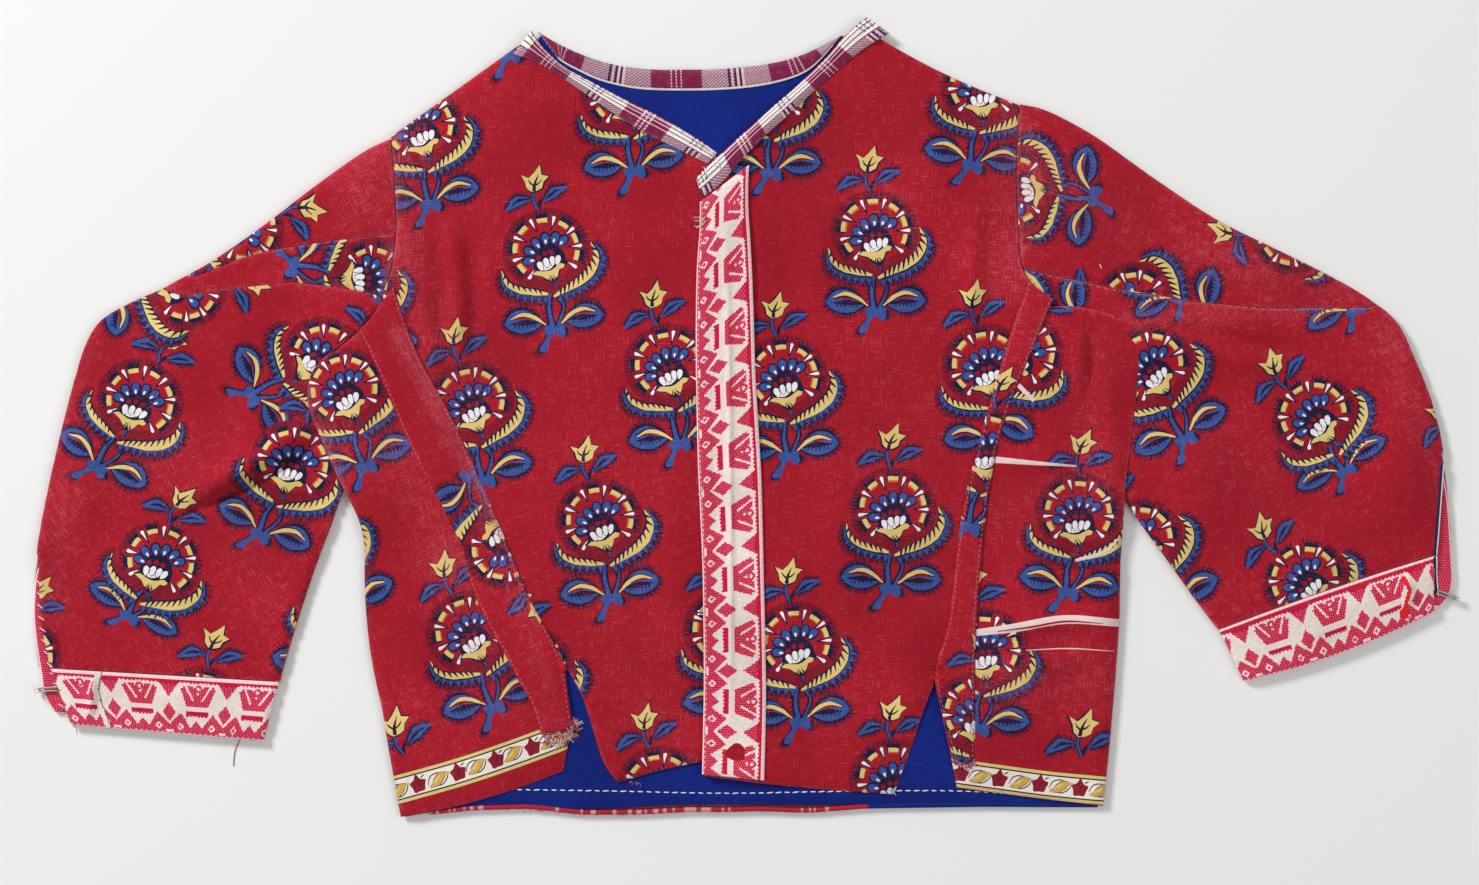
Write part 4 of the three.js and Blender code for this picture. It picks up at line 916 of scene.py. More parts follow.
SLEEVES = {
    "right_over": {"grain": -61, "under": -61, "sprigs": [(-210.2, 79.4, -78, "")],
                   "folds": [(-215, 96, -160, 98, 10, 0.7, 3), (-170, 80, -150, 110, 8, 0.5, 1)],
                   "worn": [(-160, 110, -160, 80, 14, 0.3), (-228, 70, -200, 96, 8, 0.3)]},
    "right_strip": {"grain": -90, "under": -90, "sprigs": [(-156.0, 56.7, -100, "")],
                    "folds": [], "worn": [(-148, 70, -148, 54, 4, 0.9), (-240, 52, -150, 50, 3, 0.4)]},
    "right_under": {"grain": 30, "under": 30,
                    "sprigs": [(-253.1, 6.7, -32, ""), (-234.0, 54.5, -90, ""), (-176.3, 23.6, -63, ""),
                               (-188.7, -19.3, -25, ""), (-244.6, -60.5, -29, "short"), (-227.4, -122.1, -15, ""),
                               (-167.9, -80.2, -20, ""), (-304.3, -100.4, -20, "")],
                    "folds": [(-174, -8, -248, -47, 2.2, -0.9, 3), (-176, 1, -240, -36, 5, 1.5, 3),
                              (-262, 20, -280, -60, 12, 0.8, -5), (-220, 30, -200, -10, 8, 0.7, 2),
                              (-250, -80, -200, -96, 10, 0.6, 3), (-232, 40, -262, 30, 6, 0.5, 2)],
                    "worn": [(-284, -30, -292, -80, 9, 0.35), (-240, -20, -200, -60, 14, 0.15), (-270, 30, -290, -10, 6, 0.3)]},
    "left_over": {"grain": 73, "under": 73, "sprigs": [(112.8, 94.9, 85, ""), (163.6, 46.2, 80, ""), (229.1, 77.3, 86, "")],
                  "folds": [(132, 118, 196, 82, 3.2, -0.9, 2), (130, 112, 200, 74, 6, 0.8, 2), (150, 70, 240, 60, 9, 0.6, 3)],
                  "worn": [(124, 100, 160, 80, 12, 0.35), (190, 70, 250, 52, 10, 0.35), (120, 120, 118, 70, 5, 0.4)]},
    "left_under": {"grain": 22, "under": 22,
                   "sprigs": [(238.3, 0.3, 30, "short"), (169.9, 20.7, 26, "budless"), (108.4, 39.5, 88, "budless"), (165.5, -52.1, 29, ""),
                              (234.4, -68.3, 31, "short"), (242.6, 67.6, 30, "short"), (170.3, 73.0, 30, "short"),
                              (308.5, -18.5, 30, "short")],
                   "folds": [(150, 46, 246, 26, 3.4, -1.1, -3), (150, 40, 240, 18, 6, 1.0, -3),
                             (262, 20, 282, -50, 12, 0.8, 4), (200, 10, 190, -70, 12, 0.8, -4), (230, -40, 250, -84, 9, 0.7, 2)],
                   "worn": [(270, 36, 292, -30, 7, 0.3), (200, -20, 230, -40, 16, 0.15), (160, 40, 240, 44, 5, 0.35)]},
}
for number, (part, sleeve) in enumerate(SLEEVES.items()):
    node = f"sleeve_{part}"
    mesh, outline = shell(node, sleeve["sprigs"], grain=sleeve["grain"], seed=41 + number, least=1.2, grow=0.2,
                          edge_drop=0.5, worn_lines=sleeve["worn"], ease=eased(sleeve["folds"], 0.5, 0.18, 33 + number))
    skin = skin_of(node, -1)
    lower = sheet_of_cloth(
        "lower_layer", skin, printed(lattice(skin[2], sleeve["under"], number), rounded(skin[2], 2.0), 51 + number,
                                     fringed=False),
        grain=sleeve["grain"], plain=RED, wrong=WRONG_SIDE, edge_drop=0.0, grow=0.2, printed_down=True)
    both = bmesh.new()
    both.from_mesh(mesh)
    both.from_mesh(lower[0])
    both.to_mesh(mesh)
    both.free()
    bpy.data.meshes.remove(lower[0])
    lay(mesh.name, mesh, PRINTED_COTTON,
        [node])


# ---- The back and its lining ----
# The back is one piece of the print with a narrow rolled hem. The blue cotton lining lies inside it and shows at
# the neck, in the side slits and under the front hems.

skin = skin_of("back", -1)
mesh, outline = sheet_of_cloth(
    "back_cloth", skin, printed(lattice(skin[2], 0, 8), rounded(skin[2], 2.0), 61, fringed=False), grain=0,
    plain=RED, wrong=WRONG_SIDE, edge_drop=0.0, grow=0.2, printed_down=True, thickness=0.9)
lay(mesh.name, mesh, PRINTED_COTTON, ["back"])

LINING_BLUE = srgb("081f74")
BLUE_COTTON = cotton("Blue cotton lining, plain weave", thread=0.5, slub=4.0, pale=srgb("2f4fae"),
                     faded=srgb("213f98"), threads_shown=0.2, rough=0.85)
mesh, outline = sheet_of_cloth(
    "back_lining_cloth", skin_of("back_lining"), [], grain=0, plain=LINING_BLUE, wrong=LINING_BLUE, spacing=2.2,
    least=2.0, grow=0.2, ease=eased([(-30, 118, 10, 96, 8, 0.4, 2), (-60, -160, 60, -160, 3, 0.2, 0)], 0.3, 0.12, 71))
lay(mesh.name, mesh, BLUE_COTTON, ["back_lining"])


# ---- The neck binding, of plaid cotton tape ----
# A straight tape of maroon and pink plaid, folded over the neck edge: one length round the back and one down each
# front. The left one laps over the right one and its end is turned round.

def long_sides(outline, corners):
    """The two long sides of a tape, each from its start to its finish, between four corners roughly given."""
    count = len(outline)
    i, j, k, m = (int(np.argmin(np.linalg.norm(outline - corner, axis=1))) for corner in corners)

    def run(a, b):
        forward = outline[np.arange(a, a + (b - a) % count + 1) % count]
        backward = outline[np.arange(a, a - (a - b) % count - 1, -1) % count]
        length = lambda line: np.sum(np.linalg.norm(np.diff(line, axis=0), axis=1))
        return min((forward, backward), key=length)

    return run(i, m), run(j, k)


def tape(name, skin, corners, design, *, cell=0.5, wrong, ease=None, edge_drop=0.4, least=0.0, thickness=0.7,
         printed_down=False, worn_lines=(), edge_wear=0.2, squared=False):
    """A woven tape laid on a solid's skin, its pattern woven cell by cell along and across it."""
    sides = []
    for side in long_sides(rounded(skin[2], 1.0, 40), corners):
        reach = np.concatenate([[0], np.cumsum(np.linalg.norm(np.diff(side, axis=0), axis=1))])
        sides.append((side, reach))
    length = np.mean([reach[-1] for _, reach in sides])
    rows = max(2, round(length / cell))
    width = np.mean(np.linalg.norm(sides[0][0][[0, -1]] - sides[1][0][[0, -1]], axis=1))
    columns = max(2, round(width / cell))
    share = np.linspace(0, 1, rows + 1)
    edges = [np.column_stack([np.interp(share * reach[-1], reach, side[:, i]) for i in (0, 1)])
             for side, reach in sides]
    if squared:
        side, reach = sides[1]
        nearest = [reach[np.argmin(np.linalg.norm(side - point, axis=1))] / reach[-1] for point in edges[0]]
        nearest = np.maximum.accumulate(nearest)
        kernel = np.ones(9) / 9
        nearest = np.convolve(np.pad(nearest, 4, mode="edge"), kernel, "valid")
        level = (nearest - nearest[0]) / (nearest[-1] - nearest[0])
        level = 0.9 * level + 0.1 * share
        edges[1] = np.column_stack([np.interp(level * reach[-1], reach, side[:, i]) for i in (0, 1)])
    across = np.linspace(0, 1, columns + 1)
    flat = (edges[0][:, None] * (1 - across)[None, :, None] + edges[1][:, None] * across[None, :, None]).reshape(-1, 2)
    index = np.arange((rows + 1) * (columns + 1)).reshape(rows + 1, columns + 1)
    a, b, c, d = index[:-1, :-1].ravel(), index[:-1, 1:].ravel(), index[1:, 1:].ravel(), index[1:, :-1].ravel()
    triangles = np.vstack([np.column_stack([a, b, c]), np.column_stack([a, c, d])])
    one, two, three = flat[a[0]], flat[b[0]], flat[c[0]]
    if (two[0] - one[0]) * (three[1] - one[1]) - (two[1] - one[1]) * (three[0] - one[0]) < 0:
        triangles = triangles[:, ::-1]
    along = (np.arange(rows) + 0.5) * length / rows
    side_at = (np.arange(columns) + 0.5) * width / columns
    cells = design(*(grid.ravel() for grid in np.meshgrid(along, side_at, indexing="ij")), width)
    rim = np.concatenate([index[0, :-1], index[:-1, -1], index[-1, :0:-1], index[:0:-1, 0]])
    outline = anticlockwise(flat[rim])
    places = np.column_stack([np.repeat(share * length, columns + 1), np.tile(across * width, rows + 1)])
    tree = kdtree.KDTree(len(flat))
    for i, (x, y) in enumerate(flat):
        tree.insert((x, y, 0), i)
    tree.balance()
    grain_of = lambda points: np.array([places[tree.find((x, y, 0))[1]] for x, y in points])
    mesh = two_sided(name, flat, triangles, np.vstack([cells, cells]), wrong, cells[0], grain_of, outline,
                     lie_of(skin), ease, edge_drop, least, thickness, printed_down, worn_lines, edge_wear)
    return mesh, (max(float(width), 10.2) / 1000, float(length) / 1000, float(width * length) / 1e6)


MAROON = srgb("7a1a44")
TWILL_PINK = srgb("925a70")
TWILL_WHITE = srgb("c9b3ba")
PALE_LINE = srgb("d9b3bb")
PLAID_NAVY = srgb("3b1f47")
TAPE_WHITE = srgb("eae4de")


def plaid(start, striped):
    """Plaid of 20 mm maroon and 27 mm pink blocks, each crossed by three lines; striped along its inner side."""

    def design(u, v, width):
        at = (u + start) % 47.5
        maroon = at < 20.5
        diagonal = (np.floor(u / 0.5) + np.floor(v / 0.5)) % 3 < 1.5
        colours = np.where(diagonal[:, None], TWILL_PINK, TWILL_WHITE)
        colours = np.where(maroon[:, None], MAROON, colours)
        knots = (np.floor(v / 0.5) % 3 < 2)
        pale = np.zeros(len(u), bool)
        for centre in (8.2, 10.2, 12.2):
            pale |= (np.abs(at - centre) < 0.4) & knots
        colours = np.where(pale[:, None], PALE_LINE, colours)
        navy = np.zeros(len(u), bool)
        for centre in (31.6, 33.8, 36.0):
            navy |= (np.abs(at - centre) < 0.5) & (np.floor(v / 0.5) % 3 < 2.5)
            colours = np.where(((np.abs(at - centre - 1.1) < 0.45))[:, None], PALE_LINE, colours)
        colours = np.where(navy[:, None], PLAID_NAVY, colours)
        if striped:
            stripes, threads = np.zeros(len(u), bool), np.zeros(len(u), bool)
            for centre in (0.9, 2.8, 4.7):
                stripes |= np.abs(v - centre) < np.where(maroon, 0.35, 0.6)
                threads |= np.abs(v - centre - 0.95) < 0.36
            thread_colour = np.where(maroon[:, None], MAROON, srgb("6a4656"))
            colours = np.where(threads[:, None] & ~maroon[:, None], thread_colour, colours)
            white = np.where((pale | navy)[:, None], TAPE_WHITE, np.where(maroon[:, None], PALE_LINE, TAPE_WHITE))
            colours = np.where(stripes[:, None], np.where(navy[:, None] & (v < 4.6)[:, None], PLAID_NAVY, white), colours)
            crossing = stripes & (navy | pale) & ((np.floor(u / 0.5) + np.floor(v / 0.5)) % 2 < 1)
            colours = np.where(crossing[:, None], TAPE_WHITE, colours)
        else:
            colours = np.where((v > width - 1.1)[:, None], TAPE_WHITE, colours)
        return colours

    return design


PLAID_TAPE = cotton("Plaid cotton tape, twill, soft and thick", thread=0.5, slub=4.0, pale=srgb("efe6e2"),
                    faded=srgb("c9a7ae"), threads_shown=0.15, rough=0.85, bump=0.5)
BINDINGS = {
    "back": dict(corners=((-86.5, 161), (-78, 149.6), (37.2, 155.3), (41, 159.6)), start=-1.0, striped=False),
    "right": dict(corners=((-89.3, 161.4), (-97, 151.5), (-15.4, 105.6), (-11.2, 110.4)), start=43.5, striped=True),
    "left": dict(corners=((51.2, 167.2), (60.5, 160.2), (-17.6, 91.6), (-20.4, 99.4)), start=30.0, striped=True),
}
for number, (side, made) in enumerate(BINDINGS.items()):
    node = f"neck_binding_{side}"
    mesh, size = tape(f"{node}_tape", skin_of(node), made["corners"], plaid(made["start"], made["striped"]),
                      wrong=TWILL_WHITE, ease=eased([], 0.2, 0.3, 81 + number), edge_drop=0.6, squared=side == "back")
    lay(mesh.name, mesh, PLAID_TAPE,
        [node])


# ---- The woven ribbon: down the left front edge, round the cuffs and inside the wrist slits ----
# A cotton ribbon 25 mm wide, woven in red on cream with rows of crowns, lozenges and peaks. It is stitched down
# along both edges.

RIBBON_RED = srgb("bd1036")
RIBBON_DOT = srgb("dc6a84")
RIBBON_CREAM = srgb("e2d5cd")
RIBBON_PALE = srgb("f4cdd1")
DARN_RED = srgb("dc1a22")
FOLD_SHADE = srgb("8a5a5e")


def crowns(start, repeat=23.7, direction=1, dotted=False):
    """The ribbon's pattern at (along, across), measured from its crown edge."""

    def design(u, v, width):
        fine = (np.floor(u / 0.5) % 2 == 0) & ((np.floor(v / 0.5) + (np.floor(u / 1.0) % 2)) % 2 == 0)
        v = v * 25 / width
        at = ((u * direction + start) / repeat) % 1 * 23.7
        off = np.minimum(at, 23.7 - at)          # from the crown's middle
        gap = 11.85 - off                        # from the middle between two crowns
        toothed = np.floor(u / 0.8) % 2 < 1
        red = (v > 1.3) & (v < 2.9) & ~((v > 2.4) & toothed)
        # crown with its notch, ring and rays
        crown = (v > 3.8) & (v < 12.6) & (off < np.interp(v, [3.8, 12.6], [7.6, 4.6]))
        crown &= ~((v < 5.0) & (off > 6.2))
        notch = (off < np.interp(v, [3.8, 8.0], [2.4, 0.0])) & (v < 8.0)
        rays = (np.abs(off - np.interp(v, [4.0, 10.1], [5.1, 1.9])) < 0.42) & (v < 10.1)
        crown &= ~notch & ~rays
        crown |= (np.abs(np.hypot(off, v - 5.1) - 1.15) < 0.5) & (v > 3.6)
        red |= crown
        # bar and, below it, two pale points
        red |= (v > 14.9) & (v < 16.7 + 0.5 * toothed) & (off < 4.8)
        red |= v > np.interp(off, [0, 2.6, 6.8, 11.85], [18.7, 21.8, 15.5, 20.8])
        # hanging triangle and lozenge between the crowns
        red |= (v > 2.4) & (gap < np.interp(v, [2.4, 9.2], [4.1, -0.1]))
        red |= (np.abs(v - 15.5) / 4.1 + gap / 2.9) < 1
        # pale lozenge rings and dashes in the lower band
        lozenge = np.abs(v - 21.6) / 1.7 + np.abs(off - 7.0) / 1.5
        red &= ~((lozenge > 0.5) & (lozenge < 1.05))
        red &= ~((np.abs(v - 23.4) < 0.4) & (gap < 1.6))
        # small pale dots all over the red
        dots = fine & ~((v > 14.5) & (v < 17.2) & (off < 4.8)) & (v > 3.4)
        if dotted:
            red = (v > 1.7) & (v < 24.4)
            dots = fine
        red &= v < 24.5
        grid = (round(len(np.unique(u))), round(len(np.unique(v))))
        mask = red.reshape(grid)
        near = mask.copy()
        near[1:] |= mask[:-1]
        near[:-1] |= mask[1:]
        near[:, 1:] |= mask[:, :-1]
        near[:, :-1] |= mask[:, 1:]
        near = near.ravel()
        colours = np.where(near[:, None], RIBBON_PALE, RIBBON_CREAM)
        colours = np.where((v < 1.3)[:, None], RIBBON_PALE, colours)
        shade = np.random.default_rng(7).uniform(0.94, 1.05, (len(u), 1))
        colours = np.where(red[:, None], RIBBON_RED, colours)
        return np.where((dots & red)[:, None], RIBBON_DOT, colours) * np.hstack([shade, shade, shade, shade / shade])

    return design


def marked(design, marks):
    """A pattern with marks over it: rows of (colour, half width, points along and across)."""

    def with_marks(u, v, width):
        colours = design(u, v, width)
        for colour, half, points in marks:
            away = np.full(len(u), 1e9)
            for (u1, v1), (u2, v2) in zip(points, points[1:]):
                run = np.array([u2 - u1, v2 - v1], float)
                along = np.clip(((u - u1) * run[0] + (v - v1) * run[1]) / (run @ run), 0, 1)
                away = np.minimum(away, np.hypot(u - u1 - along * run[0], v - v1 - along * run[1]))
            colours = np.where((away < half)[:, None], colour, colours)
        return colours

    return with_marks


RIBBON = cotton("Woven cotton ribbon, red on cream", thread=0.6, slub=3.0, pale=srgb("f3e6e4"), faded=srgb("e0a3ac"),
                threads_shown=0.08, rough=0.8, sheen=0.1, bump=0.5)
mesh, size = tape("placket_ribbon_cloth", skin_of("placket_ribbon"),
                  ((1.9, 105), (-18.7, 89.5), (-17.8, -150), (8.2, -152.6)), crowns(14.5, 25.7), wrong=RIBBON_CREAM,
                  ease=eased([(-8, 96, -6, -148, 1.4, 0.35, 1), (-15, 90, -12, -148, 2.2, -0.2, 1)], 0.3, 0.25, 91),
                  least=5.4, edge_drop=0.5)
lay(mesh.name, mesh, RIBBON, ["placket_ribbon"])

CUFFS = {
    "right": dict(corners=((-290.7, -105.9), (-282, -129.8), (-201.8, -136.5), (-195.1, -111.6)),
                  under=((-296.2, -105.6), (-283, -129.6), (-201.8, -136.5), (-195.1, -111.6)),
                  start=13.6, repeat=23.6, folds=[(-272.4, -104, -274.6, -130, 1.8, 0.8, 0), (-240, -112, -240, -130, 8, 0.4, 1)],
                  marks=[(RIBBON_CREAM, 1.1, [(18.3, 0), (15.6, 8), (15.2, 13), (17.2, 26)]),
                         (FOLD_SHADE, 0.28, [(19.7, 0), (16.9, 8), (16.5, 13), (18.5, 26)])]),
    "left": dict(corners=((198.9, -89.7), (209.4, -111.4), (288.9, -82.5), (289.4, -58.7)),
                 under=((198.9, -89.7), (209.4, -111.4), (291.5, -81.2), (296.7, -56.4)),
                 start=5.0, repeat=25.0, folds=[(276, -66, 280, -80, 2.0, 0.8, 0), (240, -76, 244, -96, 8, 0.4, 1)],
                 marks=[(DARN_RED, 0.9, [(76.9, 5), (78.7, 10.1), (76.8, 15.6), (74.5, 19.1)]),
                        (DARN_RED, 2.0, [(75.6, 18.2), (76.4, 18.8)])]),
}
for number, (side, cuff) in enumerate(CUFFS.items()):
    node = f"cuff_{side}"
    mesh, size = tape(f"{node}_cloth", skin_of(node), cuff["corners"],
                      marked(crowns(cuff["start"], cuff["repeat"]), cuff["marks"]),
                      wrong=RIBBON_CREAM, ease=eased(cuff["folds"], 0.35, 0.3, 95 + number), least=1.2)
    lower, lower_size = tape("lower_layer", skin_of(node, -1), cuff["under"], crowns(2.0, 24.6, -1), cell=0.8,
                             wrong=RIBBON_CREAM, printed_down=True, edge_drop=0.0)
    both = bmesh.new()
    both.from_mesh(mesh)
    both.from_mesh(lower)
    both.to_mesh(mesh)
    both.free()
    bpy.data.meshes.remove(lower)
    lay(mesh.name, mesh, RIBBON,
        [node])

FACINGS = {
    "right": ((-295.4, -61), (-288, -61), (-280, -124.5), (-289.6, -124)),
    "left": ((292.2, -20), (284, -21), (284, -79), (292.2, -79.6)),
}
for number, (side, corners) in enumerate(FACINGS.items()):
    node = f"slit_facing_{side}"
    mesh, size = tape(f"{node}_cloth", skin_of(node), corners, crowns(0.0, dotted=True), wrong=RIBBON_CREAM,
                      ease=eased([], 0.2, 0.2, 99 + number))
    lay(mesh.name, mesh, RIBBON, [node])


# ---- The hooks: one at each wrist slit and three down the front ----
# Each is one plated steel wire bent double. Its two prongs run out side by side from under the cloth, and their
# joined end is curled down and back, to catch an eye.

def line_mesh(name, lines):
    """Open lines, each with its colour, for a tree of nodes to follow."""
    points, edges, tints = [], [], []
    for line, colour in lines:
        edges += [(len(points) + i, len(points) + i + 1) for i in range(len(line) - 1)]
        points += ((np.asarray(line) + (SHIFT_X, SHIFT_Y, 0)) / 1000).tolist()
        tints += [colour[i] if isinstance(colour, list) else colour for i in range(len(line))]
    mesh = bpy.data.meshes.new(name)
    mesh.from_pydata(points, edges, [])
    print_layer = mesh.attributes.new("print", "FLOAT_COLOR", "POINT")
    print_layer.data.foreach_set("color", np.array(tints, np.float32).ravel())
    return mesh


def node_group(name, sizes):
    """An empty tree of geometry nodes with named inputs, and those inputs' sockets."""
    tree = bpy.data.node_groups.new(name, "GeometryNodeTree")
    tree.interface.new_socket("Geometry", in_out="INPUT", socket_type="NodeSocketGeometry")
    for label, kind in sizes.items():
        tree.interface.new_socket(label, in_out="INPUT", socket_type=f"NodeSocket{kind}")
    tree.interface.new_socket("Geometry", in_out="OUTPUT", socket_type="NodeSocketGeometry")
    return tree, add(tree, "NodeGroupInput").outputs


def finish_tree(tree, shape, material):
    """Ends a tree: real, smooth geometry with its material."""
    real = add(tree, "GeometryNodeRealizeInstances", {"Geometry": shape}).outputs[0]
    smooth = add(tree, "GeometryNodeSetShadeSmooth", {"Geometry": real}).outputs[0]
    finished = add(tree, "GeometryNodeSetMaterial", {"Geometry": smooth, "Material": material}).outputs[0]
    add(tree, "NodeGroupOutput", {"Geometry": finished})


def grown(name, lines, tree, inputs, replaces=()):
    """A plain mesh that a tree of nodes makes along open lines, riding on the jacket."""
    piece = bpy.data.objects.new(name, line_mesh(f"{name}_lines", lines))
    bpy.context.scene.collection.objects.link(piece)
    maker = piece.modifiers.new("maker", "NODES")
    maker.node_group = tree
    for socket in tree.interface.items_tree:
        if socket.in_out == "INPUT" and socket.name in inputs:
            maker[socket.identifier] = inputs[socket.name]
    graph = bpy.context.evaluated_depsgraph_get()
    shape = bpy.data.meshes.new_from_object(piece.evaluated_get(graph), preserve_all_data_layers=True, depsgraph=graph)
    piece.modifiers.remove(maker)
    piece.data = shape
    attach(piece, "root")
    if replaces:
        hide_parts(*replaces)
    return piece


WIRE, enter = node_group("Wire or thread along a line", {"Thickness": "Float", "Sides": "Int", "Material": "Material"})
path = add(WIRE, "GeometryNodeMeshToCurve", {"Mesh": enter["Geometry"]}).outputs[0]
half = add(WIRE, "ShaderNodeMath", {0: enter["Thickness"], 1: 0.5}, operation="MULTIPLY").outputs[0]
ring = add(WIRE, "GeometryNodeCurvePrimitiveCircle", {"Resolution": enter["Sides"], "Radius": half}).outputs[0]
tube = add(WIRE, "GeometryNodeCurveToMesh", {"Curve": path, "Profile Curve": ring, "Fill Caps": True}).outputs[0]
finish_tree(WIRE, tube, enter["Material"])

# Plated steel wire: drawn, bent and nickel-plated, now dulled and a little stained in its bends.
STEEL_WIRE = bpy.data.materials.new("Nickel-plated steel wire, dulled")
STEEL_WIRE.use_nodes = True
tree = STEEL_WIRE.node_tree
tree.nodes.clear()
place = add(tree, "ShaderNodeTexCoord").outputs["Object"]
stain = add(tree, "ShaderNodeTexNoise", {"Vector": place, "Scale": 900.0, "Detail": 3.0}).outputs["Fac"]
tint = add(tree, "ShaderNodeMix", {"Factor": stain, 6: srgb("f0efea"), 7: srgb("8d8272")}, data_type="RGBA").outputs[2]
dull = add(tree, "ShaderNodeMapRange", {"Value": stain, "To Min": 0.22, "To Max": 0.45}).outputs[0]
metal = add(tree, "ShaderNodeBsdfPrincipled", {"Base Color": tint, "Metallic": 1.0, "Roughness": dull})
add(tree, "ShaderNodeOutputMaterial", {"Surface": metal.outputs[0]})

WIRE_THICKNESS = 0.85
# name: where the prongs come out, their direction in degrees, height, length, and distance from wire to wire
HOOKS = {
    "cuff_hook_right": ((-289.6, -114.4), 184, 3.05, 7.6, 1.35),
    "cuff_hook_left": ((291.6, -74.2), -20, 3.05, 8.2, 1.35),
    "front_hook_1": ((-18.6, 82.4), 180, 4.35, 4.1, 1.45),
    "front_hook_2": ((-19.2, -31.0), 180, 4.35, 2.2, 1.3),
    "front_hook_3": ((-17.6, -82.4), 180, 4.35, 2.0, 1.3),
}
for node, ((x, y), direction, z, length, apart) in HOOKS.items():
    bend = 0.62
    side = [(-1.6, apart / 2 + 0.2, 0), (0.6, apart / 2, 0), (length * 0.6, apart / 2, 0.1), (length - 0.7, apart / 2, 0.05),
            (length - 0.1, apart / 2, -bend * 0.35), (length, apart / 2, -bend), (length - 0.3, apart / 2 - 0.05, -bend * 1.7),
            (length - 1.1, apart / 2 - 0.2, -bend * 2)]
    local = np.array(side + [(length - 1.9, 0, -bend * 2)] + [(u, -v, w) for u, v, w in side[::-1]])
    a = math.radians(direction)
    wire = through(local, 0.2)
    placed = np.column_stack([x + wire[:, 0] * math.cos(a) - wire[:, 1] * math.sin(a),
                              y + wire[:, 0] * math.sin(a) + wire[:, 1] * math.cos(a), z + wire[:, 2]])
    grown(f"{node}_wire", [(placed, srgb("c8c8c4"))], WIRE,
          {"Thickness": WIRE_THICKNESS / 1000, "Sides": 10, "Material": STEEL_WIRE}, [node])


# ---- Sewing: topstitching, running stitches, tacks and whipped edges ----
# Cotton sewing thread, red, white and pale, sewn by machine down the strips and the ribbon and by hand elsewhere.
# Each stitch is a short fat thread pulled into the cloth at both ends.

STITCH, enter = node_group("Stitches along a line", {"Spacing": "Float", "Length": "Float", "Thread": "Float",
                                                     "Slant": "Float", "Seed": "Int", "Material": "Material"})
path = add(STITCH, "GeometryNodeMeshToCurve", {"Mesh": enter["Geometry"]}).outputs[0]
places = add(STITCH, "GeometryNodeCurveToPoints", {"Curve": path, "Length": enter["Spacing"]}, mode="LENGTH").outputs
straight = add(STITCH, "FunctionNodeAlignRotationToVector", {"Vector": places["Tangent"]}, axis="X").outputs[0]
sway = add(STITCH, "FunctionNodeRandomValue", {2: -0.13, 3: 0.13, "Seed": enter["Seed"]}, data_type="FLOAT").outputs[1]
lean = add(STITCH, "ShaderNodeMath", {0: enter["Slant"], 1: sway}, operation="ADD").outputs[0]
about_z = add(STITCH, "ShaderNodeCombineXYZ", {"Z": lean}).outputs[0]
spin = add(STITCH, "FunctionNodeEulerToRotation", {0: about_z}).outputs[0]
turned = add(STITCH, "FunctionNodeRotateRotation", {"Rotation": straight, "Rotate By": spin},
             rotation_space="GLOBAL").outputs[0]
reach = add(STITCH, "FunctionNodeRandomValue", {2: 0.82, 3: 1.12, "Seed": enter["Seed"]}, data_type="FLOAT").outputs[1]
long = add(STITCH, "ShaderNodeMath", {0: enter["Length"], 1: reach}, operation="MULTIPLY").outputs[0]
thin = add(STITCH, "ShaderNodeMath", {0: enter["Thread"], 1: 0.8}, operation="MULTIPLY").outputs[0]
size = add(STITCH, "ShaderNodeCombineXYZ", {"X": long, "Y": enter["Thread"], "Z": thin}).outputs[0]
stitch = add(STITCH, "GeometryNodeMeshIcoSphere", {"Radius": 0.5, "Subdivisions": 2}).outputs[0]
sewn = add(STITCH, "GeometryNodeInstanceOnPoints", {"Points": places["Points"], "Instance": stitch,
                                                    "Rotation": turned, "Scale": size}).outputs[0]
finish_tree(STITCH, sewn, enter["Material"])

# Sewing thread: spun cotton, two plies twisted together, matt. Each line's own dye comes from its "print" colour, with
# painted shade darkening it in the grooves between the plies.
SEWING_THREAD = bpy.data.materials.new("Spun cotton sewing thread, two-ply")
SEWING_THREAD.use_nodes = True
tree = SEWING_THREAD.node_tree
tree.nodes.clear()
dye = add(tree, "ShaderNodeAttribute", attribute_name="print").outputs["Color"]
place = add(tree, "ShaderNodeTexCoord").outputs["Object"]
twist = add(tree, "ShaderNodeTexWave", {"Vector": place, "Scale": 650.0, "Distortion": 1.5},
            bands_direction="DIAGONAL").outputs["Fac"]
# painted shade: the dye is darker where the twist's bump is low, in the grooves between the plies
groove_shade = add(tree, "ShaderNodeMapRange", {"Value": twist, "To Min": 0.82, "To Max": 1.05}).outputs[0]
shaded_dye = add(tree, "ShaderNodeVectorMath", {0: dye, "Scale": groove_shade}, operation="SCALE").outputs[0]
relief = add(tree, "ShaderNodeBump", {"Height": twist, "Strength": 0.5, "Distance": 0.0001}).outputs[0]
fibre = add(tree, "ShaderNodeBsdfPrincipled", {"Base Color": shaded_dye, "Roughness": 0.8, "Specular IOR Level": 0.2,
                                               "Normal": relief})
add(tree, "ShaderNodeOutputMaterial", {"Surface": fibre.outputs[0]})

THREAD_RED = srgb("cc1f2b")
THREAD_PINK = srgb("c97480")
THREAD_WHITE = srgb("e8e2e0")
THREAD_CREAM = srgb("cdbfa6")


def top_of(*names):
    """Height of the highest of some laid pieces at a place, or of the surface that the jacket lies on."""
    graph = bpy.context.evaluated_depsgraph_get()
    trees = [BVHTree.FromObject(bpy.data.objects[name], graph) for name in names]

    def height(x, y):
        start = ((x + SHIFT_X) / 1000, (y + SHIFT_Y) / 1000, 0.06)
        hits = [tree.ray_cast(start, (0, 0, -1))[0] for tree in trees]
        return max([hit.z * 1000 for hit in hits if hit] or [0.0])

    return height


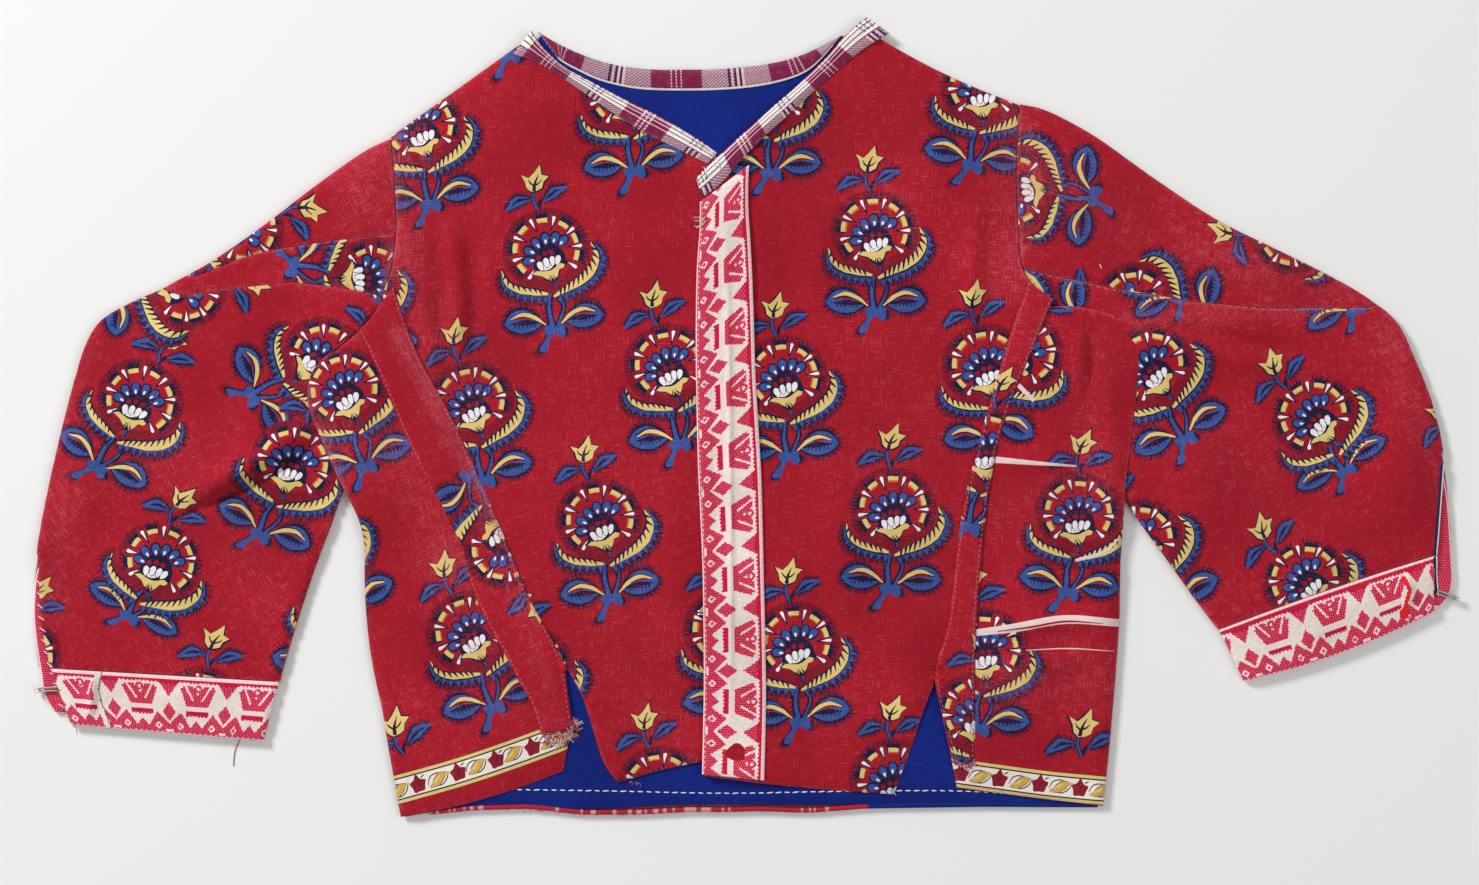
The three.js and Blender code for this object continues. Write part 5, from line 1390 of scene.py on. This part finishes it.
def sew(name, lines, colour, *, on, spacing, length, thread=0.4, slant=0.0, seed=1, lift=0.05):
    """Rows of stitches along lines, lying on the pieces named."""
    height = top_of(*on)
    rows = []
    for line in lines:
        line = through(line, 1.0)
        rows.append((np.column_stack([line, [max(height(x, y), 1.4) + lift for x, y in line]]), colour))
    grown(name, rows, STITCH, {"Spacing": spacing / 1000, "Length": length / 1000, "Thread": thread / 1000,
                               "Slant": math.radians(slant), "Seed": seed, "Material": SEWING_THREAD})


def long_edges(node, corners, inset):
    """The two long edges of a piece, moved inwards."""
    return long_sides(outward(rounded(skin_of(node)[2], 2.0), -inset), corners)


STRIP_CORNERS = {
    "right": ((-160.6, 35.3), (-146.8, 54.2), (-72.0, -131.0), (-84.6, -133.6)),
    "left": ((118.7, 56.3), (129.2, 49.1), (96.4, -144.5), (88.0, -146.0)),
}
for side, corners in STRIP_CORNERS.items():
    sew(f"strip_topstitching_{side}", long_edges(f"side_band_{side}", corners, 0.9), THREAD_PINK,
        on=[f"side_band_{side}_cloth"], spacing=2.2, length=1.5, thread=0.33, seed=3)
sew("placket_stitching", long_edges("placket_ribbon", ((1.9, 105), (-18.7, 89.5), (-17.8, -150), (8.2, -152.6)), 1.0),
    THREAD_WHITE, on=["placket_ribbon_cloth"], spacing=2.2, length=1.4, thread=0.35, seed=4)
for side, corners in {"right": CUFFS["right"]["corners"], "left": CUFFS["left"]["corners"]}.items():
    sew(f"cuff_stitching_{side}", long_edges(f"cuff_{side}", corners, 0.8), srgb("f0cdd3"), on=[f"cuff_{side}_cloth"],
        spacing=2.2, length=1.2, thread=0.35, seed=5)
# white running stitches along the lining's hem, by hand
sew("lining_hem_stitching", [[(-116, -156.4), (-60, -157.2), (-8, -158.2), (40, -157.4), (94, -157.4), (130, -160)]],
    THREAD_WHITE, on=["back_lining_cloth"], spacing=3.6, length=2.7, thread=0.55, seed=6, lift=0.12)
# bright red lines that hold the turned edges of the side slits
sew("slit_stitching", [[(-76.7, -105.8), (-75.6, -118), (-74.6, -129)], [(-65.8, -121), (-58.6, -136), (-49.4, -152)],
                       [(-70.6, -111.6), (-66.4, -120)]],
    THREAD_RED, on=["front_right_cloth", "side_right_cloth", "side_band_right_cloth"], spacing=1.2, length=1.3,
    thread=0.38, seed=7)
sew("left_slit_stitching", [[(75.5, -128), (68, -148), (64.6, -157)], [(86.5, -116), (90.2, -134), (93.0, -143)]],
    THREAD_RED, on=["front_left_cloth", "side_left_cloth", "side_band_left_cloth"], spacing=1.6, length=1.2,
    thread=0.34, seed=8)
# tacks at the tops of the slits
sew("slit_tack_right", [[(-77.9, -102.6), (-76.2, -105.2), (-74.8, -106.2)]], THREAD_RED,
    on=["front_right_cloth", "side_right_cloth", "side_band_right_cloth", "back_lining_cloth"], spacing=0.55,
    length=3.4, thread=0.6,
    slant=80, seed=9, lift=0.25)
sew("slit_tack_left", [[(78.0, -109.6), (80.6, -109.9), (83.6, -109.2)]], THREAD_RED,
    on=["front_left_cloth", "side_left_cloth", "side_band_left_cloth"], spacing=0.6, length=2.2, thread=0.55,
    slant=68, seed=10, lift=0.25)
# whipping over the edge of the right wrist slit, in white and navy
wrist_edge = [(-295.6, -70), (-294.6, -86), (-291.4, -104), (-287.2, -115.6), (-286.4, -122), (-282.2, -129)]
sew("wrist_whipping_white", [wrist_edge], THREAD_WHITE,
    on=["sleeve_right_under_cloth", "slit_facing_right_cloth", "cuff_right_cloth"], spacing=4.7, length=3.4, thread=0.45,
    slant=42, seed=11, lift=0.12)
sew("wrist_whipping_navy", [[(x + 1.0, y - 1.5) for x, y in wrist_edge[2:]]], PLAID_NAVY,
    on=["sleeve_right_under_cloth", "slit_facing_right_cloth", "cuff_right_cloth"], spacing=4.7, length=1.8,
    thread=0.3, slant=50, seed=12, lift=0.1)
# pale dashes along the left sleeve's upper seam
sew("sleeve_seam_stitching", [[(118, 60.6), (136, 56.9), (153.5, 52.9), (169.5, 50.1), (185.5, 46.9)],
                              [(200, 46.4), (219, 44.6), (262, 44.9)]],
    srgb("c98a92"), on=["sleeve_left_over_cloth", "sleeve_left_under_cloth"], spacing=3.4, length=1.6, thread=0.26,
    seed=13)


# ---- Rolled hem, frayed ends and loose threads ----
# The back's hem is a narrow roll of the print, rubbed through along its fold. The strips' raw lower ends have
# frayed, and a few ends of thread hang loose.

def strand(name, lines, thickness, sides=6):
    grown(name, lines, WIRE, {"Thickness": thickness / 1000, "Sides": sides, "Material": SEWING_THREAD})


rng = np.random.default_rng(5)
hem = through([(-132, -166.2), (-98, -163.9), (-60, -166.4), (-27, -165.4), (0, -165.0), (32, -165.2), (52, -163.6)], 0.7)
swell = 0.16 * np.sin(hem[:, 0] / 5) + rng.normal(0, 0.06, len(hem))
worn_through = (unevenness(hem[:, 0], hem[:, 1], 0.9, 3) > 0.3) & (unevenness(hem[:, 0], hem[:, 1], 17, 8) > -0.2)
strand("back_hem_roll", [(np.column_stack([hem[:, 0], hem[:, 1] + swell, np.full(len(hem), 1.55)]),
                          [srgb("cf8f95") if pale else srgb("ac2036") for pale in worn_through])], 2.0, sides=10)
# further left the lining itself is rolled over the hem
hem_line = skin_of("back")[2]
hem_line = hem_line[hem_line[:, 1] < -150]
hem_line = hem_line[np.argsort(hem_line[:, 0])]
along = np.linspace(51, hem_line[-1, 0] - 1, 60)
rolled_over = np.column_stack([along, np.interp(along, *hem_line.T) + 0.3, np.full(60, 1.3)])
strand("lining_hem_roll", [(rolled_over, LINING_BLUE)], 2.3, sides=10)


left_wrist = top_of("sleeve_left_under_cloth", "slit_facing_left_cloth", "cuff_left_cloth")
slit_edge = through([(292.1, -20.6), (290.0, -48.7), (289.2, -59.6), (290.0, -75.5)], 1.0)
for name, shift, colour, thickness in (("slit_lining_edge", 0.0, srgb("1f2550"), 1.1),
                                       ("slit_selvedge", 0.9, srgb("e9dfe0"), 0.6)):
    strand(name, [(np.column_stack([slit_edge + (shift, 0), [left_wrist(x, y) + 0.1 for x, y in slit_edge]]), colour)],
           thickness)


def fray(line, away, reach, count, colours, height, seed, lift=0.25):
    """Short curled thread ends along a raw edge, each leaving it towards `away`, give or take."""
    rng = np.random.default_rng(seed)
    line = through(line, 0.5)
    ends = []
    for _ in range(count):
        x, y = line[rng.integers(len(line))]
        angle = math.radians(away + rng.normal(0, 32))
        length, curl = reach * rng.uniform(0.35, 1.1), rng.normal(0, 0.9)
        spots = []
        for step in np.linspace(-0.25, 1, 6):
            a = angle + curl * step
            px, py = x + length * step * math.cos(a), y + length * step * math.sin(a)
            spots.append((px, py, height(px, py) + lift + 0.5 * max(step, 0) * rng.uniform(0, 0.8)))
        ends.append((through(spots, 0.35), colours[rng.integers(len(colours))]))
    return ends


right_end = top_of("side_band_right_cloth", "side_right_cloth", "back_lining_cloth")
left_end = top_of("side_band_left_cloth", "side_left_cloth", "back_lining_cloth")
FRAY = [srgb("c0505f"), srgb("d9a7a0"), srgb("e0d3c4"), srgb("a0243a"), srgb("6a4a86"), srgb("cfa95c")]
strand("strip_fray_right", fray([(-84, -133.4), (-78, -134.8), (-72, -130.6), (-71.4, -127)], -72, 4.6, 150, FRAY,
                                right_end, 1), 0.28)
strand("strip_fray_left", fray([(88, -144), (92, -146), (96.4, -145)], -80, 2.4, 55,
                               [srgb("a81c30"), srgb("4a5fae"), srgb("d8c9c4"), srgb("c0505f")], left_end, 2), 0.26)
everything = top_of(*(piece.name for piece in bpy.data.objects if piece.name.endswith(("_cloth", "_tape"))))
strand("hem_fray", fray([(-100, -164.4), (-60, -166.9), (-27, -165.9)], -88, 1.5, 70,
                        [srgb("e3cccb"), srgb("c0505f"), srgb("ac2036")], lambda x, y: 1.6, 3, 0.0), 0.2)
strand("slit_fray", fray([(81.2, -108.4), (80.2, -103)], 88, 4.0, 14, [THREAD_RED, srgb("a31b32")], everything, 4)
       + fray([(-49, -153), (-44, -154)], -60, 1.6, 10, [srgb("5f78c4"), srgb("c0505f")], everything, 5)
       + fray([(60.5, -156.6), (62.6, -157.6)], -40, 1.8, 10, [THREAD_WHITE, srgb("8fa3d8")], everything, 6), 0.26)

# loose ends: under the right cuff, at the point of the neck, by the upper hook and below the binding
LOOSE = [
    ([(-211.8, -135.8), (-213.9, -140.6), (-214.6, -147.0)], srgb("8d3040"), 0.32),
    ([(-281.0, -128.6), (-280.4, -133.6)], srgb("b4b0ae"), 0.25),
    ([(-22, 116.4), (-15.6, 112.2), (-12.0, 108.2), (-11.0, 104.4), (-13.2, 105.0)], THREAD_WHITE, 0.34),
    ([(-20, 113.2), (-14.4, 110.2), (-10.8, 106.0), (-10.2, 103.4)], srgb("d6cdd2"), 0.3),
    ([(-17, 104.4), (-16.2, 101.2), (-16.8, 98.6)], THREAD_WHITE, 0.36),
    ([(-16.4, 83.4), (-18.4, 80.2), (-20.0, 78.6)], THREAD_CREAM, 0.5),
    ([(-16.2, 81.6), (-18.4, 79.2), (-21.0, 79.4)], THREAD_CREAM, 0.5),
    ([(-17.4, -30.0), (-19.4, -33.0)], THREAD_CREAM, 0.4),
    ([(-72.0, 134.2), (-71.2, 131.6), (-71.8, 129.6)], THREAD_RED, 0.3),
    ([(148.8, 63.5), (149.6, 61.8)], THREAD_WHITE, 0.4),
]
for number, (points, colour, thickness) in enumerate(LOOSE):
    line = through(points, 0.6)
    strand(f"loose_thread_{number + 1}",
           [(np.column_stack([line, [everything(x, y) + thickness * 0.6 for x, y in line]]), colour)], thickness)


# ---- Floor, light and camera ----
scene = bpy.context.scene
floor_mesh = bpy.data.meshes.new("floor")
floor_mesh.from_pydata([(-4, -4, 0), (4, -4, 0), (4, 4, 0), (-4, 4, 0)], [], [(0, 1, 2, 3)])
floor = bpy.data.objects.new("floor", floor_mesh)
scene.collection.objects.link(floor)
pale_board = bpy.data.materials.new("Pale matt board")
pale_board.use_nodes = True
board = pale_board.node_tree.nodes["Principled BSDF"]
board.inputs["Base Color"].default_value = srgb("e6e7e5")
board.inputs["Roughness"].default_value = 0.95
board.inputs["Specular IOR Level"].default_value = 0.1
floor_mesh.materials.append(pale_board)

lens_view = bpy.data.cameras.new("camera")
lens_view.sensor_width = 36.0
DISTANCE = 1.5
PICTURE_WIDTH = 0.6212
lens_view.lens = 36.0 * DISTANCE / PICTURE_WIDTH
camera = bpy.data.objects.new("camera", lens_view)
camera.location = ((-2.1 + SHIFT_X) / 1000, (-11.13 + SHIFT_Y) / 1000, DISTANCE)
scene.collection.objects.link(camera)
scene.camera = camera


def lamp(name, place, aim, width, watts, colour=(1, 1, 1)):
    light = bpy.data.lights.new(name, "AREA")
    light.shape = "SQUARE"
    light.size = width
    light.energy = watts
    light.color = colour
    made = bpy.data.objects.new(name, light)
    made.location = place
    made.rotation_euler = (Vector(aim) - Vector(place)).to_track_quat("-Z", "Y").to_euler()
    scene.collection.objects.link(made)


lamp("window_light", (-1.7, 1.4, 1.25), (0, 0, 0), 0.6, 58)
lamp("fill_light", (1.7, -0.6, 2.0), (0.15, 0, 0), 1.8, 17)
world = bpy.data.worlds.new("soft_room")
world.use_nodes = True
world.node_tree.nodes["Background"].inputs["Color"].default_value = (1, 1, 1, 1)
world.node_tree.nodes["Background"].inputs["Strength"].default_value = 0.45
scene.world = world
scene.view_settings.view_transform = "Standard"
